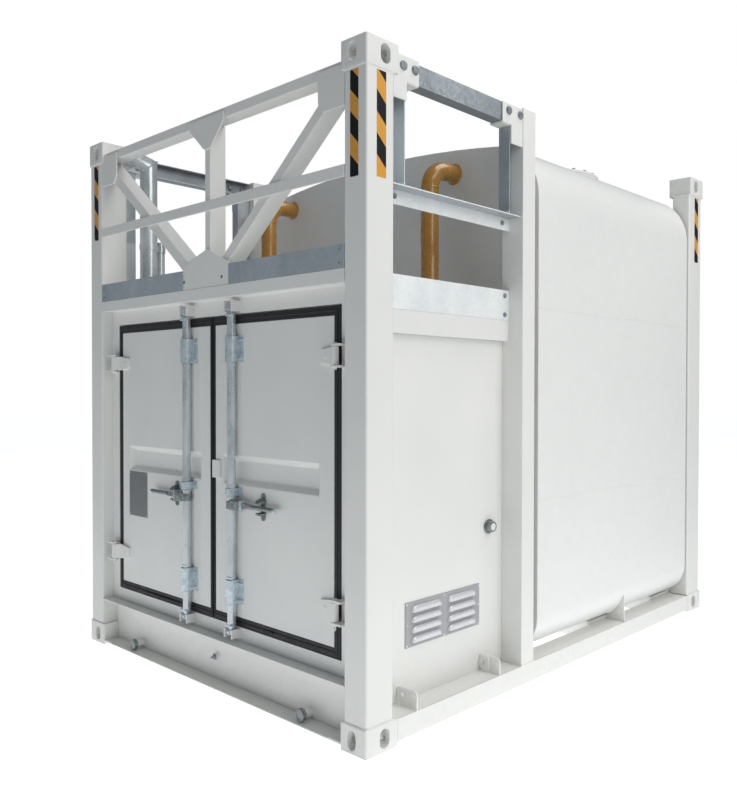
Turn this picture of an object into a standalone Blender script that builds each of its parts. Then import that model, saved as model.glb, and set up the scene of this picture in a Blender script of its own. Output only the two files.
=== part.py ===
"""Fuel storage tank in a 10-foot corner-casting frame, with a pump compartment at one end.

Metres, +Z up. The origin is at the middle of the footprint, on the plane that the bottom
castings stand on. The double door is at -Y, the tank fills the +Y end, and +X is the side
with the mid rail. Blocks and bars stand half a gap inside their nominal faces, and flat
plates only across their thickness.
"""
import math

import bmesh
import bpy
from mathutils import Matrix, Vector

# Envelope of the frame
HALF_WIDTH = 1.219
HALF_LENGTH = 1.4955
HEIGHT = 2.896
GAP = 0.0003
WELD = 0.00001

# Corner castings: width, length and height, pocket walls and openings
CASTING_X = 0.162
CASTING_Y = 0.178
CASTING_Z = 0.118
CASTING_OUTER_WALL = 0.028
CASTING_INNER_WALL = 0.014
CASTING_EDGE = 0.010
SLOT_FROM_SIDE = 0.0895
SLOT_FROM_END = 0.1025
SLOT_HEIGHT = 0.057
SIDE_SLOT = (0.051, 0.0795)
BASE_SLOT = (0.0635, 0.124)

# Posts, as distances from the middle planes
CASTING_INNER_X = HALF_WIDTH - CASTING_X
CASTING_INNER_Y = HALF_LENGTH - CASTING_Y
POST_OUTER_X = 1.214
FRONT_POST_X = 1.076
FRONT_POST_Y = (1.342, 1.4905)
REAR_POST_X = 1.090
REAR_POST_Y = (1.305, 1.4755)
MIDDLE_POST_X = 1.082
MIDDLE_POST_Y = (-0.483, -0.384)
MIDDLE_POST_TOP = 2.866
FRONT_FACE = -1.4905
POST_EDGE = 0.010

# Rear end frame: the sill and the tie beam between its posts
REAR_SILL_Y = (1.3775, 1.4775)
REAR_SILL_Z = (0.017, 0.150)
TIE_BEAM_Y = (1.340, 1.440)
TIE_BEAM_Z = (2.450, 2.550)
OVERLAP = 0.010

# Top-rail brackets: a plate set back from the posts' faces, and a ledge under the rail's end
BRACKET_X = (1.198, 1.208)
LEDGE_X = (1.127, 1.203)
LEDGE_Z = (2.760, 2.7715)
BRACKET_STEP_Z = 2.764
FRONT_BRACKET_Y = (-1.360, -1.264, -1.194)
FRONT_BRACKET_Z = (2.687, 2.870)
MIDDLE_BRACKET_Y = (-0.634, -0.568, -0.400)
MIDDLE_BRACKET_Z = (2.675, 2.860)
MIDDLE_LEDGE_END = -0.5715

# Rails, saddles and sills
RAIL_X = (1.079, POST_OUTER_X)
RAIL_Z = (0.016, 0.112)
SILL_Z = (0.017, 0.266)
SILL_WEB_Y = -1.405
SHEET = 0.008
WELD_ROOT = 0.002                # room for the weld between a gusset and the round shell
SADDLE_LOW = 0.030
MIDDLE_SADDLE_Y = (0.320, 0.520)
REAR_SADDLE_Y = (1.050, 1.270)

# Lashing lugs on the base rails
LUG_ROOT = 0.0008                # room between a lug and the side wall
LUG_BASE_Z = 0.105
LUG_TOP = 0.191
LUG_REACH = 1.211
LUG_CORNER = 0.020
LUG_NOTCH = 0.022
LUG_HOLES = ((1.120, 0.160, 0.010), (1.192, 0.165, 0.007))
LUG_Y = (-1.200, -0.645)
DOUBLER_REACH = 1.146            # the rear lug's inner hole has a doubler plate in front of it
DOUBLER_TOP = 0.187
DOUBLER_CORNER = 0.012

# Fittings on the sill's web
STUB = (0.757, 0.056)
STUB_RADIUS = 0.020
STUB_Y = -1.455
CAP_RADIUS = 0.026
CAP_Y = (-1.472, -1.448)
BOSS = (0.0, 0.140)
BOSS_RADIUS = 0.018
BOSS_Y = -1.425

# Compartment: walls, deck and door frame
WALL_X = (1.081, 1.085)
WALL_TOP = 1.725
DECK_EDGE_X = 1.127
DECK_Z = (1.812, 1.820)
DECK_EDGE_TOP = 1.827
FRAME_Y = (-1.431, -1.360)
OPENING_X = 0.990
OPENING_Z = (0.335, 1.843)
HEADER_Z = (1.920, 1.978)
KEEPER_Y = (-1.480, -1.425)
KEEPER_Z = ((1.850, 1.905), (0.285, 0.330))
KEEPER_CHEEKS = (-0.035, 0.027)
FLOOR_SHEET = 0.006
DECK_SHEET_X = 1.100
GLAND = (-0.588, 0.808)
GLAND_RADIUS = 0.025
GLAND_END = 1.118

# Louvre plates over openings in the side walls
LOUVRE_Y = (-1.154, -0.658)
LOUVRE_Z = (0.338, 0.538)
LOUVRE_RIM = 0.014
LOUVRE_FACE = WALL_X[1] + 0.0032
HOOD_MIDDLES = (-1.024, -0.788)
HOOD_ROWS = (0.370, 0.415, 0.460, 0.505)
HOOD_LENGTH = 0.190
HOOD_HEIGHT = 0.026
HOOD_DEPTH = 0.012

# Tank: a rounded section drawn along Y
TANK_Y = (-0.345, 1.285)
TANK_SHEET = 0.006
TANK_HALF_WIDTH = 1.207
TANK_BOTTOM = 0.132
TANK_TOP = 2.824
CROWN_RADIUS = 7.0
UPPER_RADIUS = 0.30
LOWER_RADIUS = 0.19
MANHOLE = (0.50, 0.76)
MANHOLE_RADIUS = 0.255
FLANGE_RADIUS = 0.295
FLANGE_Z = (2.848, 2.860)
COVER_TOP = 2.876

# Doors: the leaves hang at the frame's sides and meet at the middle
LEAF_X = (0.025, 0.943)
LEAF_Y = (-1.433, -1.383)
LEAF_Z = (0.382, 1.796)
SEAL_X = (0.005, 0.985)
SEAL_Y = (-1.432, -1.407)
SEAL_Z = (0.340, 1.838)
HINGE = (0.985, -1.462)
HINGE_RADIUS = 0.016
HINGE_HEIGHTS = ((1.585, 1.662), (0.509, 0.589))
HINGE_PLAY = 0.002
HINGE_EAR = 0.010
HINGE_BACK = 0.0045              # how far a blade's back stands off the leaf's plane
EAR_X = (0.011, 0.055)
EAR_ROOT_Y = -1.425
ROD = (0.205, -1.458)
ROD_RADIUS = 0.020
ROD_Z = (0.300, 1.895)
HANDLE_Z = 0.930
HANDLE_LENGTH = 0.360
HANDLE_RADIUS = 0.012

BEARINGS_Z = ((1.610, 1.735), (0.970, 1.007), (0.449, 0.566))
BEARING_OUTER = 0.030
BEARING_ROOM = 0.0225
BEARING_FLANGE = (0.065, 0.006)
BLADE_X = (0.856, 0.950, 0.973)
BLADE_LIFT = 0.014
CATCHES_X = {"right": (0.412, 0.452), "left": (0.322, 0.362)}
CATCH_Y = (-1.475, -1.430)
CATCH_Z = ((0.950, 0.958), (0.902, 0.910))
LAP_X = (0.0065, 0.075)
LAP_Z = (1.042, 1.130)
LAP_LIFT = 0.008
LAP_ROOT = 0.001                 # the lap is welded on this far inside the leaf's edge
FITTING_ROOT = 0.003             # how far a door fitting reaches into its leaf
RECESS_DEPTH = 0.028
RECESS_SLOPE = 0.022
RECESSES = {"right": ((0.095, 0.842), (1.022, 1.158)), "left": ((0.1135, 0.858), (1.024, 1.156))}

# Truss over the door end
TRUSS_Y = (-1.480, -1.394)
TRUSS_POST_X = (0.011, 0.055)
TOP_BEAM_Y = (-1.4787, -1.400)
BEAM_Z = (2.779, 2.826)
FRONT_RAIL_Y = (FRONT_FACE, -1.4805)
FRONT_RAIL_Z = (2.350, 2.400)
DIAGONAL_SLOPE = 0.765
DIAGONAL_DEPTH = 0.0629
DIAGONAL_POINT = (0.882, 2.666)
GUSSET_Y = (-1.4885, -1.4790)
HOUSE_GUSSET = ((0.222, 2.091), (0.040, 2.166), (-0.182, 2.102))
HOUSE_FOOT_X = (-0.182, 0.230)
CROWN_GUSSET = ((-0.119, 2.807), (0.185, 2.807), (0.185, 2.765), (0.070, 2.653), (0.012, 2.653),
                (-0.119, 2.765))
CORNER_GUSSET_TOP = 2.809
CORNER_GUSSET_X = 0.900
CORNER_GUSSET_FOOT = (2.639, (0.936, 2.637), (0.904, 2.676))
FRONT_BOARD_TOP = 2.077
FRONT_BOARD_X = {"right": 0.2305, "left": 0.1825}
SIDE_BOARD_X = (1.122, DECK_EDGE_X)
SIDE_BOARD_TOP = 1.976
BOARD_SHEET = 0.006

# Deck guards and pipes
GUARD_Y = (-CASTING_INNER_Y, MIDDLE_POST_Y[0])
TOP_RAIL_Z = (2.772, 2.862)
TOP_RAIL_X = (1.127, 1.197)
ANGLE = 0.006
STANCHION_X = 1.130
STANCHIONS = ((-1.270, (-1.336, -1.267)), (-0.571, (-0.568, -0.486)))
FAR_STANCHION_FOOT = 1.740
MID_RAIL_X = (1.121, 1.200)
MID_RAIL_Z = (2.270, 2.338)
RISER_FOOT = (-1.000, -1.250)
RISER_KNEE_Z = 2.795
RISER_OUTLET = (-1.372, 2.832)
SMALL_RISER = (-1.045, -1.155)
SMALL_RISER_TOP = 2.360
SMALL_RISER_RADIUS = 0.025
STRAP_X = (-1.050, -1.010)
STRAP_Y = (-1.240, -1.160)
STRAPS_Z = (1.950, 2.300)
STRAP_HEIGHT = 0.030
PIPE_RADIUS = 0.0475
PIPE_HEIGHT = 2.665
PIPE_BEND = 0.11
PIPE_Y = -0.533
PIPES = {"right": 0.6235, "left": -0.832}

SIDES = {"right": 1, "left": -1}

# Finishes: colour, roughness, metallic
WHITE = ((0.80, 0.81, 0.79), 0.40, 0.0)
SHELL_WHITE = ((0.83, 0.83, 0.81), 0.42, 0.0)
GREY = ((0.45, 0.46, 0.46), 0.50, 0.0)
GALVANISED = ((0.42, 0.47, 0.51), 0.45, 0.85)
ZINC = ((0.62, 0.63, 0.62), 0.35, 0.85)
RUBBER = ((0.03, 0.03, 0.03), 0.75, 0.0)
MUSTARD = ((0.72, 0.38, 0.03), 0.42, 0.0)

for existing in list(bpy.data.objects):
    bpy.data.objects.remove(existing, do_unlink=True)
parts = bpy.data.collections.new("fuel_storage_tank")
helpers = bpy.data.collections.new("cutters_and_joined_shapes")
bpy.context.scene.collection.children.link(parts)
bpy.context.scene.collection.children.link(helpers)

# Each matrix turns a shape drawn in XY, and its height, onto the plane across an axis
ACROSS = {
    "X": Matrix(((0, 0, 1), (1, 0, 0), (0, 1, 0))).to_4x4(),
    "Y": Matrix(((1, 0, 0), (0, 0, -1), (0, 1, 0))).to_4x4(),
    "Z": Matrix.Identity(4),
}


def position(axis, first, second, along):
    """The point at (first, second) on the plane across an axis, so far along that axis."""
    order = {"X": (along, first, second), "Y": (first, along, second), "Z": (first, second, along)}
    return Matrix.Translation(Vector(order[axis]))


def linked(name, mesh, matrix):
    """A new object of the parts collection."""
    obj = bpy.data.objects.new(name, mesh)
    obj.matrix_world = matrix
    parts.objects.link(obj)
    return obj


def span(side, near, far):
    """The two distances on one side of the middle plane, in rising order."""
    return tuple(sorted((side * near, side * far)))


def block(name, x, y, z, inset=GAP / 2):
    """A box between the given planes."""
    size = [high - low - 2 * inset for low, high in (x, y, z)]
    middle = [(low + high) / 2 for low, high in (x, y, z)]
    mesh = bpy.data.meshes.new(name)
    box = bmesh.new()
    bmesh.ops.create_cube(box, size=1.0, matrix=Matrix.Diagonal((*size, 1.0)))
    box.to_mesh(mesh)
    box.free()
    return linked(name, mesh, Matrix.Translation(Vector(middle)))


def cylinder(name, axis, centre, low, high, radius, sides=20):
    """A round bar about an axis between two planes."""
    mesh = bpy.data.meshes.new(name)
    bar = bmesh.new()
    bmesh.ops.create_cone(bar, cap_ends=True, segments=sides, radius1=radius, radius2=radius,
                          depth=high - low - GAP)
    bar.to_mesh(mesh)
    bar.free()
    return linked(name, mesh, position(axis, *centre, (low + high) / 2) @ ACROSS[axis])


def solid(name, curve, matrix):
    """The closed mesh of a curve, with its caps welded on."""
    guide = bpy.data.objects.new(name + "_guide", curve)
    guide.matrix_world = matrix
    parts.objects.link(guide)
    evaluated = guide.evaluated_get(bpy.context.evaluated_depsgraph_get())
    mesh = bpy.data.meshes.new_from_object(evaluated)
    welded = bmesh.new()
    welded.from_mesh(mesh)
    bmesh.ops.remove_doubles(welded, verts=welded.verts, dist=WELD)
    bmesh.ops.recalc_face_normals(welded, faces=welded.faces)
    welded.to_mesh(mesh)
    welded.free()
    obj = linked(name, mesh, guide.matrix_world.copy())
    bpy.data.objects.remove(guide, do_unlink=True)
    return obj


def plate(name, outline, axis, low, high, holes=()):
    """A flat outline, with its holes, across an axis between two planes."""
    curve = bpy.data.curves.new(name, "CURVE")
    curve.dimensions = "2D"
    curve.fill_mode = "BOTH"
    curve.extrude = (high - low - GAP) / 2
    for points in (outline, *holes):
        spline = curve.splines.new("POLY")
        spline.points.add(len(points) - 1)
        for point, (first, second) in zip(spline.points, points):
            point.co = (first, second, 0.0, 1.0)
        spline.use_cyclic_u = True
    return solid(name, curve, position(axis, 0.0, 0.0, (low + high) / 2) @ ACROSS[axis])


def tube(name, points, radius, resolution=4):
    """A round bar along a line of points."""
    curve = bpy.data.curves.new(name, "CURVE")
    curve.dimensions = "3D"
    curve.bevel_depth = radius
    curve.bevel_resolution = resolution
    curve.use_fill_caps = True
    spline = curve.splines.new("POLY")
    spline.points.add(len(points) - 1)
    for point, place in zip(spline.points, points):
        point.co = (*place, 1.0)
    return solid(name, curve, Matrix.Identity(4))


def combine(target, operation, tools):
    """Adds Boolean modifiers and moves the tools to the helper collection."""
    for tool in tools:
        modifier = target.modifiers.new(tool.name, "BOOLEAN")
        modifier.operation = operation
        modifier.solver = "EXACT"
        modifier.object = tool
        parts.objects.unlink(tool)
        helpers.objects.link(tool)
        tool.display_type = "WIRE"
        tool.hide_render = True
    return target


def join(target, *tools):
    """Welds shapes to a piece."""
    return combine(target, "UNION", tools)


def cut(target, *tools):
    """Cuts shapes out of a piece."""
    return combine(target, "DIFFERENCE", tools)


def finish(obj, coat):
    """Gives a piece its own material."""
    colour, roughness, metallic = coat
    material = bpy.data.materials.new(obj.name)
    material.use_nodes = True
    shader = material.node_tree.nodes["Principled BSDF"]
    shader.inputs["Base Color"].default_value = (*colour, 1.0)
    shader.inputs["Roughness"].default_value = roughness
    shader.inputs["Metallic"].default_value = metallic
    material.diffuse_color = (*colour, 1.0)
    obj.data.materials.clear()
    obj.data.materials.append(material)
    return obj


def arc(first, second, radius, start, end, steps):
    """Points of a circle about (first, second), from one angle in degrees to another."""
    angles = [math.radians(start + (end - start) * step / steps) for step in range(steps + 1)]
    return [(first + radius * math.cos(a), second + radius * math.sin(a)) for a in angles]


def slot(first, second, size, steps=6):
    """A slot with round ends, standing along the second direction."""
    radius = size[0] / 2
    reach = size[1] / 2 - radius
    upper = arc(first, second + reach, radius, 0, 180, steps)
    return upper + arc(first, second - reach, radius, 180, 360, steps)


def rounded(x, y, radius, steps=3):
    """A rectangle with round corners."""
    (left, right), (low, high) = x, y
    corners = ((right, high, 0), (left, high, 90), (left, low, 180), (right, low, 270))
    points = []
    for corner_x, corner_y, angle in corners:
        centre_x = corner_x - math.copysign(radius, corner_x - (left + right) / 2)
        centre_y = corner_y - math.copysign(radius, corner_y - (low + high) / 2)
        points += arc(centre_x, centre_y, radius, angle, angle + 90, steps)
    return points


def mirrored(side, outline):
    """An outline of the +X side, put on the given side."""
    return [(side * first, second) for first, second in outline]


def corner_casting(name, side, end, top):
    """A hollow casting with a slot in its end, its side and its outer flat face."""
    x = span(side, CASTING_INNER_X, HALF_WIDTH)
    y = span(end, CASTING_INNER_Y, HALF_LENGTH)
    rise = (lambda z: HEIGHT - z) if top else (lambda z: z)
    z = tuple(sorted((rise(0.0), rise(CASTING_Z))))
    body = plate(name, rounded(x, y, CASTING_EDGE), "Z", z[0] - GAP / 2, z[1] + GAP / 2)
    slot_x = side * (HALF_WIDTH - SLOT_FROM_SIDE)
    slot_y = end * (HALF_LENGTH - SLOT_FROM_END)
    slot_z = rise(SLOT_HEIGHT)
    past = CASTING_OUTER_WALL / 2
    pocket_x = span(side, CASTING_INNER_X + CASTING_INNER_WALL, HALF_WIDTH - CASTING_OUTER_WALL)
    pocket_y = span(end, CASTING_INNER_Y + CASTING_INNER_WALL, HALF_LENGTH - CASTING_OUTER_WALL)
    pocket_z = sorted((rise(CASTING_OUTER_WALL), rise(CASTING_Z - CASTING_INNER_WALL)))
    pocket = block(name + "_pocket", pocket_x, pocket_y, pocket_z)
    side_slot = plate(name + "_side_slot", slot(slot_y, slot_z, SIDE_SLOT), "X",
                      *span(side, pocket_x[1 if side > 0 else 0] * side - past, HALF_WIDTH + past))
    end_slot = plate(name + "_end_slot", slot(slot_x, slot_z, SIDE_SLOT), "Y",
                     *span(end, pocket_y[1 if end > 0 else 0] * end - past, HALF_LENGTH + past))
    flat_slot = plate(name + "_flat_slot", slot(slot_x, slot_y, BASE_SLOT), "Z",
                      *sorted((rise(-past), rise(CASTING_OUTER_WALL + past))))
    return finish(cut(body, pocket, side_slot, end_slot, flat_slot), WHITE)


def rail_bracket(name, side, outline, ledge_y):
    """The plate that a top rail is bolted to, with the ledge that carries the rail's end."""
    bracket = plate(name, outline, "X", *span(side, *BRACKET_X))
    return bracket, block(name + "_ledge", span(side, *LEDGE_X), ledge_y, LEDGE_Z)


def front_post(name, side):
    """A door-end corner post between its castings, with the top-rail bracket behind it."""
    outline = rounded(span(side, FRONT_POST_X + GAP / 2, POST_OUTER_X), span(-1, *FRONT_POST_Y),
                      POST_EDGE)
    post = plate(name, outline, "Z", CASTING_Z, HEIGHT - CASTING_Z)
    casting_back = -CASTING_INNER_Y + GAP
    casting_foot = HEIGHT - CASTING_Z - GAP
    root, step, tip = FRONT_BRACKET_Y
    low, high = FRONT_BRACKET_Z
    bracket_outline = [(root, low), (step, low), (step, BRACKET_STEP_Z), (tip, BRACKET_STEP_Z),
                       (tip, high), (casting_back, high), (casting_back, casting_foot),
                       (root, casting_foot)]
    join(post, *rail_bracket(name + "_bracket", side, bracket_outline, (step, tip)))
    return finish(post, WHITE)


def middle_post(name, side):
    """A post between the compartment and the tank, with the rear end's top-rail bracket."""
    post = block(name, span(side, MIDDLE_POST_X, POST_OUTER_X), MIDDLE_POST_Y,
                 (RAIL_Z[1], MIDDLE_POST_TOP))
    tip, step, root = MIDDLE_BRACKET_Y
    low, high = MIDDLE_BRACKET_Z
    bracket_outline = [(tip, BRACKET_STEP_Z), (step, BRACKET_STEP_Z), (step, low), (root, low),
                       (root, high), (tip, high)]
    join(post, *rail_bracket(name + "_bracket", side, bracket_outline, (tip, MIDDLE_LEDGE_END)))
    return finish(post, WHITE)


def rear_end_frame(name):
    """Two posts, a sill and a tie beam, welded up behind the tank."""
    reach = REAR_POST_X + OVERLAP
    sill = block(name, (-CASTING_INNER_X, CASTING_INNER_X), REAR_SILL_Y, REAR_SILL_Z)
    tie = block(name + "_tie", (-reach, reach), TIE_BEAM_Y, TIE_BEAM_Z)
    posts = []
    feet = []
    for side in SIDES.values():
        outline = rounded(span(side, REAR_POST_X, POST_OUTER_X), REAR_POST_Y, POST_EDGE)
        posts.append(plate(name + "_post", outline, "Z", CASTING_Z, HEIGHT - CASTING_Z))
        feet.append(block(name + "_foot", span(side, CASTING_INNER_X - 5 * OVERLAP, reach),
                          REAR_SILL_Y, (CASTING_Z, REAR_SILL_Z[1])))
    return finish(join(sill, *feet, *posts, tie), WHITE)


def lug_plate(name, side, y, reach, top, corner, holes):
    """A plate across the rail's ledge: round upper corners, notched at the wall over the weld."""
    wall = WALL_X[1] + LUG_ROOT
    outline = [(wall + LUG_NOTCH, LUG_BASE_Z)]
    outline += arc(wall, RAIL_Z[1], LUG_NOTCH, 0, 90, 4)
    outline += arc(wall + corner, top - corner, corner, 180, 90, 4)
    outline += arc(reach - corner, top - corner, corner, 90, 0, 4)
    outline.append((reach, LUG_BASE_Z))
    round_holes = [mirrored(side, arc(*hole, 0, 315, 7)) for hole in holes]
    return plate(name, mirrored(side, outline), "Y", *y, round_holes)


def base_rail(name, side):
    """A side rail between castings, with plate lugs standing on its ledge."""
    rail = block(name, span(side, *RAIL_X), (-CASTING_INNER_Y, CASTING_INNER_Y), RAIL_Z)
    lugs = [lug_plate(name + "_lug", side, (y - SHEET / 2, y + SHEET / 2), LUG_REACH, LUG_TOP,
                      LUG_CORNER, LUG_HOLES) for y in LUG_Y]
    face = LUG_Y[1] - SHEET / 2
    lugs.append(lug_plate(name + "_doubler", side, (face - SHEET, face + SHEET / 2), DOUBLER_REACH,
                          DOUBLER_TOP, DOUBLER_CORNER, LUG_HOLES[:1]))
    return finish(join(rail, *lugs), WHITE)


def front_sill(name):
    """An open channel under the doors, with two capped drain stubs and an earth boss."""
    web_y = (SILL_WEB_Y - SHEET / 2, SILL_WEB_Y + SHEET / 2)
    head = SILL_Z[1] - SHEET / 2
    low_x = (-CASTING_INNER_X, CASTING_INNER_X)
    web = block(name, low_x, web_y, (SILL_Z[0], head))
    wings = [block(name + "_wing", span(side, CASTING_INNER_X - SHEET, FRONT_POST_X), web_y,
                   (CASTING_Z, head)) for side in SIDES.values()]
    bottom = block(name + "_bottom", low_x, (FRONT_FACE, SILL_WEB_Y), (SILL_Z[0], SILL_Z[0] + SHEET))
    top = block(name + "_top", (-FRONT_POST_X, FRONT_POST_X), (FRONT_FACE, FRAME_Y[1]),
                (SILL_Z[1] - SHEET, SILL_Z[1]))
    fittings = [cylinder(name + "_boss", "Y", BOSS, BOSS_Y, SILL_WEB_Y, BOSS_RADIUS, 16)]
    for side in SIDES.values():
        stub = (side * STUB[0], STUB[1])
        fittings.append(cylinder(name + "_stub", "Y", stub, STUB_Y, SILL_WEB_Y, STUB_RADIUS, 16))
        fittings.append(cylinder(name + "_cap", "Y", stub, *CAP_Y, CAP_RADIUS, 16))
    return finish(join(web, *wings, bottom, top, *fittings), WHITE)


def saddle(name, y, gusseted):
    """A cross member under the tank, with side gussets at its rear face where they show."""
    member = block(name, (-RAIL_X[0], RAIL_X[0]), y, (SADDLE_LOW, TANK_BOTTOM))
    if not gusseted:
        return finish(member, WHITE)
    centre_x = TANK_HALF_WIDTH - LOWER_RADIUS
    centre_z = TANK_BOTTOM + LOWER_RADIUS
    hug = arc(centre_x, centre_z, LOWER_RADIUS + WELD_ROOT, -15, -82, 8)
    inner_x, foot = RAIL_X[0] - GAP, RAIL_Z[1] + GAP
    outline = [(inner_x - 3 * OVERLAP, foot - OVERLAP), (inner_x, foot - OVERLAP), (inner_x, foot),
               (TANK_HALF_WIDTH, foot)] + hug
    gussets = [plate(name + "_gusset", mirrored(side, outline), "Y", y[1] - SHEET, y[1])
               for side in SIDES.values()]
    return finish(join(member, *gussets), WHITE)


def hinge_ear_outline(side):
    """A frame ear seen from above: a lug from the frame's face round the hinge pin."""
    x, y = HINGE
    nose = arc(x, y, HINGE_RADIUS, 90, 270, 6)
    near, far = x + EAR_X[0], x + EAR_X[1]
    return mirrored(side, [(far, EAR_ROOT_Y), (near, EAR_ROOT_Y), (near, y + HINGE_RADIUS)]
                    + nose + [(far, y - HINGE_RADIUS)])


def door_frame(name):
    """The ring that the doors close on, its header, the hinge ears and the rod keepers."""
    outer_x = FRONT_POST_X - GAP
    outer_z = (SILL_Z[1] + GAP / 2, HEADER_Z[0] + OVERLAP)
    ring = plate(name, rectangle((-outer_x, outer_x), outer_z), "Y", *FRAME_Y,
                 [rectangle((-OPENING_X, OPENING_X), OPENING_Z)])
    header = block(name + "_header", (-FRONT_POST_X, FRONT_POST_X), (FRONT_FACE, -FRONT_POST_Y[0]),
                   HEADER_Z)
    fittings = [header]
    for side in SIDES.values():
        for low, high in HINGE_HEIGHTS:
            for foot in (low - HINGE_PLAY - HINGE_EAR, high + HINGE_PLAY):
                fittings.append(plate(name + "_ear", hinge_ear_outline(side), "Z", foot,
                                      foot + HINGE_EAR))
        for keeper_z in KEEPER_Z:
            for cheek in KEEPER_CHEEKS:
                x = span(side, ROD[0] + cheek, ROD[0] + cheek + SHEET)
                fittings.append(block(name + "_keeper", x, KEEPER_Y, keeper_z))
    return finish(join(ring, *fittings), WHITE)


def rectangle(x, y):
    """A plain rectangle."""
    return [(x[0], y[0]), (x[1], y[0]), (x[1], y[1]), (x[0], y[1])]


def deck(name):
    """The deck plate over the compartment, between two edge beams."""
    front = -FRONT_POST_Y[0] + GAP / 2
    post_x = MIDDLE_POST_X - GAP
    edge = DECK_SHEET_X
    outline = [(-edge, front), (edge, front), (edge, MIDDLE_POST_Y[0] - GAP),
               (post_x, MIDDLE_POST_Y[0] - GAP), (post_x, TANK_Y[0] - 2 * GAP),
               (-post_x, TANK_Y[0] - 2 * GAP), (-post_x, MIDDLE_POST_Y[0] - GAP),
               (-edge, MIDDLE_POST_Y[0] - GAP)]
    sheet = plate(name, outline, "Z", *DECK_Z)
    beams = [block(name + "_beam", span(side, WALL_X[0], DECK_EDGE_X),
                   (-FRONT_POST_Y[0], MIDDLE_POST_Y[0]), (WALL_TOP, DECK_EDGE_TOP))
             for side in SIDES.values()]
    return finish(join(sheet, *beams), WHITE)


def compartment_floor(name):
    """The plate that closes the compartment's bottom."""
    wall = WALL_X[0] - GAP
    post = FRONT_POST_X - GAP
    post_y = -FRONT_POST_Y[0] + GAP
    front = SILL_WEB_Y + SHEET / 2 + GAP
    back = TANK_Y[0] - 0.005
    outline = [(-post, front), (post, front), (post, post_y), (wall, post_y), (wall, back),
               (-wall, back), (-wall, post_y), (-post, post_y)]
    return finish(plate(name, outline, "Z", CASTING_Z + GAP, CASTING_Z + FLOOR_SHEET), WHITE)


def side_wall(name, side):
    """A compartment side with an opening behind its louvre plate."""
    front = -FRONT_POST_Y[0] + GAP
    step = -CASTING_INNER_Y + GAP
    back = MIDDLE_POST_Y[0] - GAP
    outline = [(front, CASTING_Z + GAP), (step, CASTING_Z + GAP), (step, RAIL_Z[1] + GAP),
               (back, RAIL_Z[1] + GAP), (back, WALL_TOP - GAP), (front, WALL_TOP - GAP)]
    opening = rectangle((LOUVRE_Y[0] + LOUVRE_RIM, LOUVRE_Y[1] - LOUVRE_RIM),
                        (LOUVRE_Z[0] + LOUVRE_RIM, LOUVRE_Z[1] - LOUVRE_RIM))
    wall = plate(name, outline, "X", *span(side, *WALL_X), [opening])
    if side > 0:
        join(wall, cylinder(name + "_gland", "X", GLAND, sum(WALL_X) / 2, GLAND_END, GLAND_RADIUS))
    return finish(wall, WHITE)


def louvre_plate(name, side):
    """A ventilation plate with two columns of pressed hoods."""
    face, root = LOUVRE_FACE, (WALL_X[1] + LOUVRE_FACE) / 2
    sheet = plate(name, rectangle(LOUVRE_Y, LOUVRE_Z), "X", *span(side, WALL_X[1] + GAP / 2, face))
    hoods = []
    for middle in HOOD_MIDDLES:
        for row in HOOD_ROWS:
            low, high = row - HOOD_HEIGHT / 2, row + HOOD_HEIGHT / 2
            hood = [(root, high), (root, low), (face + HOOD_DEPTH, low)]
            hoods.append(plate(name + "_hood", mirrored(side, hood), "Y",
                               middle - HOOD_LENGTH / 2, middle + HOOD_LENGTH / 2))
    return finish(join(sheet, *hoods), GREY)


def tank_section(inset=0.0):
    """The tank's outline: flat sides and floor, round corners and a slightly domed crown."""
    crown_z = TANK_TOP - CROWN_RADIUS
    upper_x = TANK_HALF_WIDTH - UPPER_RADIUS
    meet = math.degrees(math.acos(upper_x / (CROWN_RADIUS - UPPER_RADIUS)))
    upper_z = crown_z + (CROWN_RADIUS - UPPER_RADIUS) * math.sin(math.radians(meet))
    lower_x = TANK_HALF_WIDTH - LOWER_RADIUS
    right = arc(lower_x, TANK_BOTTOM + LOWER_RADIUS, LOWER_RADIUS - inset, -90, 0, 7)
    right += arc(upper_x, upper_z, UPPER_RADIUS - inset, 0, meet, 9)
    crown = arc(0.0, crown_z, CROWN_RADIUS - inset, meet, 180 - meet, 12)[1:-1]
    return right + crown + mirrored(-1, right)[::-1]


def tank_shell(name):
    """The shell between its ends, with the manhole neck and flange welded on."""
    shell = plate(name, tank_section(), "Y", TANK_Y[0] + TANK_SHEET, TANK_Y[1] - TANK_SHEET,
                  [tank_section(TANK_SHEET)])
    neck_low = TANK_TOP - 0.070
    neck = cylinder(name + "_neck", "Z", MANHOLE, neck_low, FLANGE_Z[0] + 0.004, MANHOLE_RADIUS, 36)
    flange = cylinder(name + "_flange", "Z", MANHOLE, *FLANGE_Z, FLANGE_RADIUS, 36)
    hole = cylinder(name + "_manhole", "Z", MANHOLE, neck_low - 0.10, COVER_TOP,
                    MANHOLE_RADIUS - TANK_SHEET, 36)
    return finish(cut(join(shell, neck, flange), hole), SHELL_WHITE)


def tank_end(name, y):
    """A flat end plate of the tank."""
    return finish(plate(name, tank_section(), "Y", *y), SHELL_WHITE)


def diagonal_outline(side):
    """A diagonal seen from the front, cut off at the header, the beam and the post."""
    low = HEADER_Z[1] + GAP
    high = HEIGHT - CASTING_Z - GAP
    wall = FRONT_POST_X - GAP
    middle = side * sum(TRUSS_POST_X) / 2

    def upper(x):
        return DIAGONAL_POINT[1] + DIAGONAL_SLOPE * (x - DIAGONAL_POINT[0])

    def reach(z):
        return DIAGONAL_POINT[0] + (z - DIAGONAL_POINT[1]) / DIAGONAL_SLOPE

    foot = reach(low + DIAGONAL_DEPTH)
    return mirrored(side, [(middle, low), (foot, low), (wall, upper(wall) - DIAGONAL_DEPTH),
                           (wall, high), (reach(high), high), (middle, max(upper(middle), low + GAP))])


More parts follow.
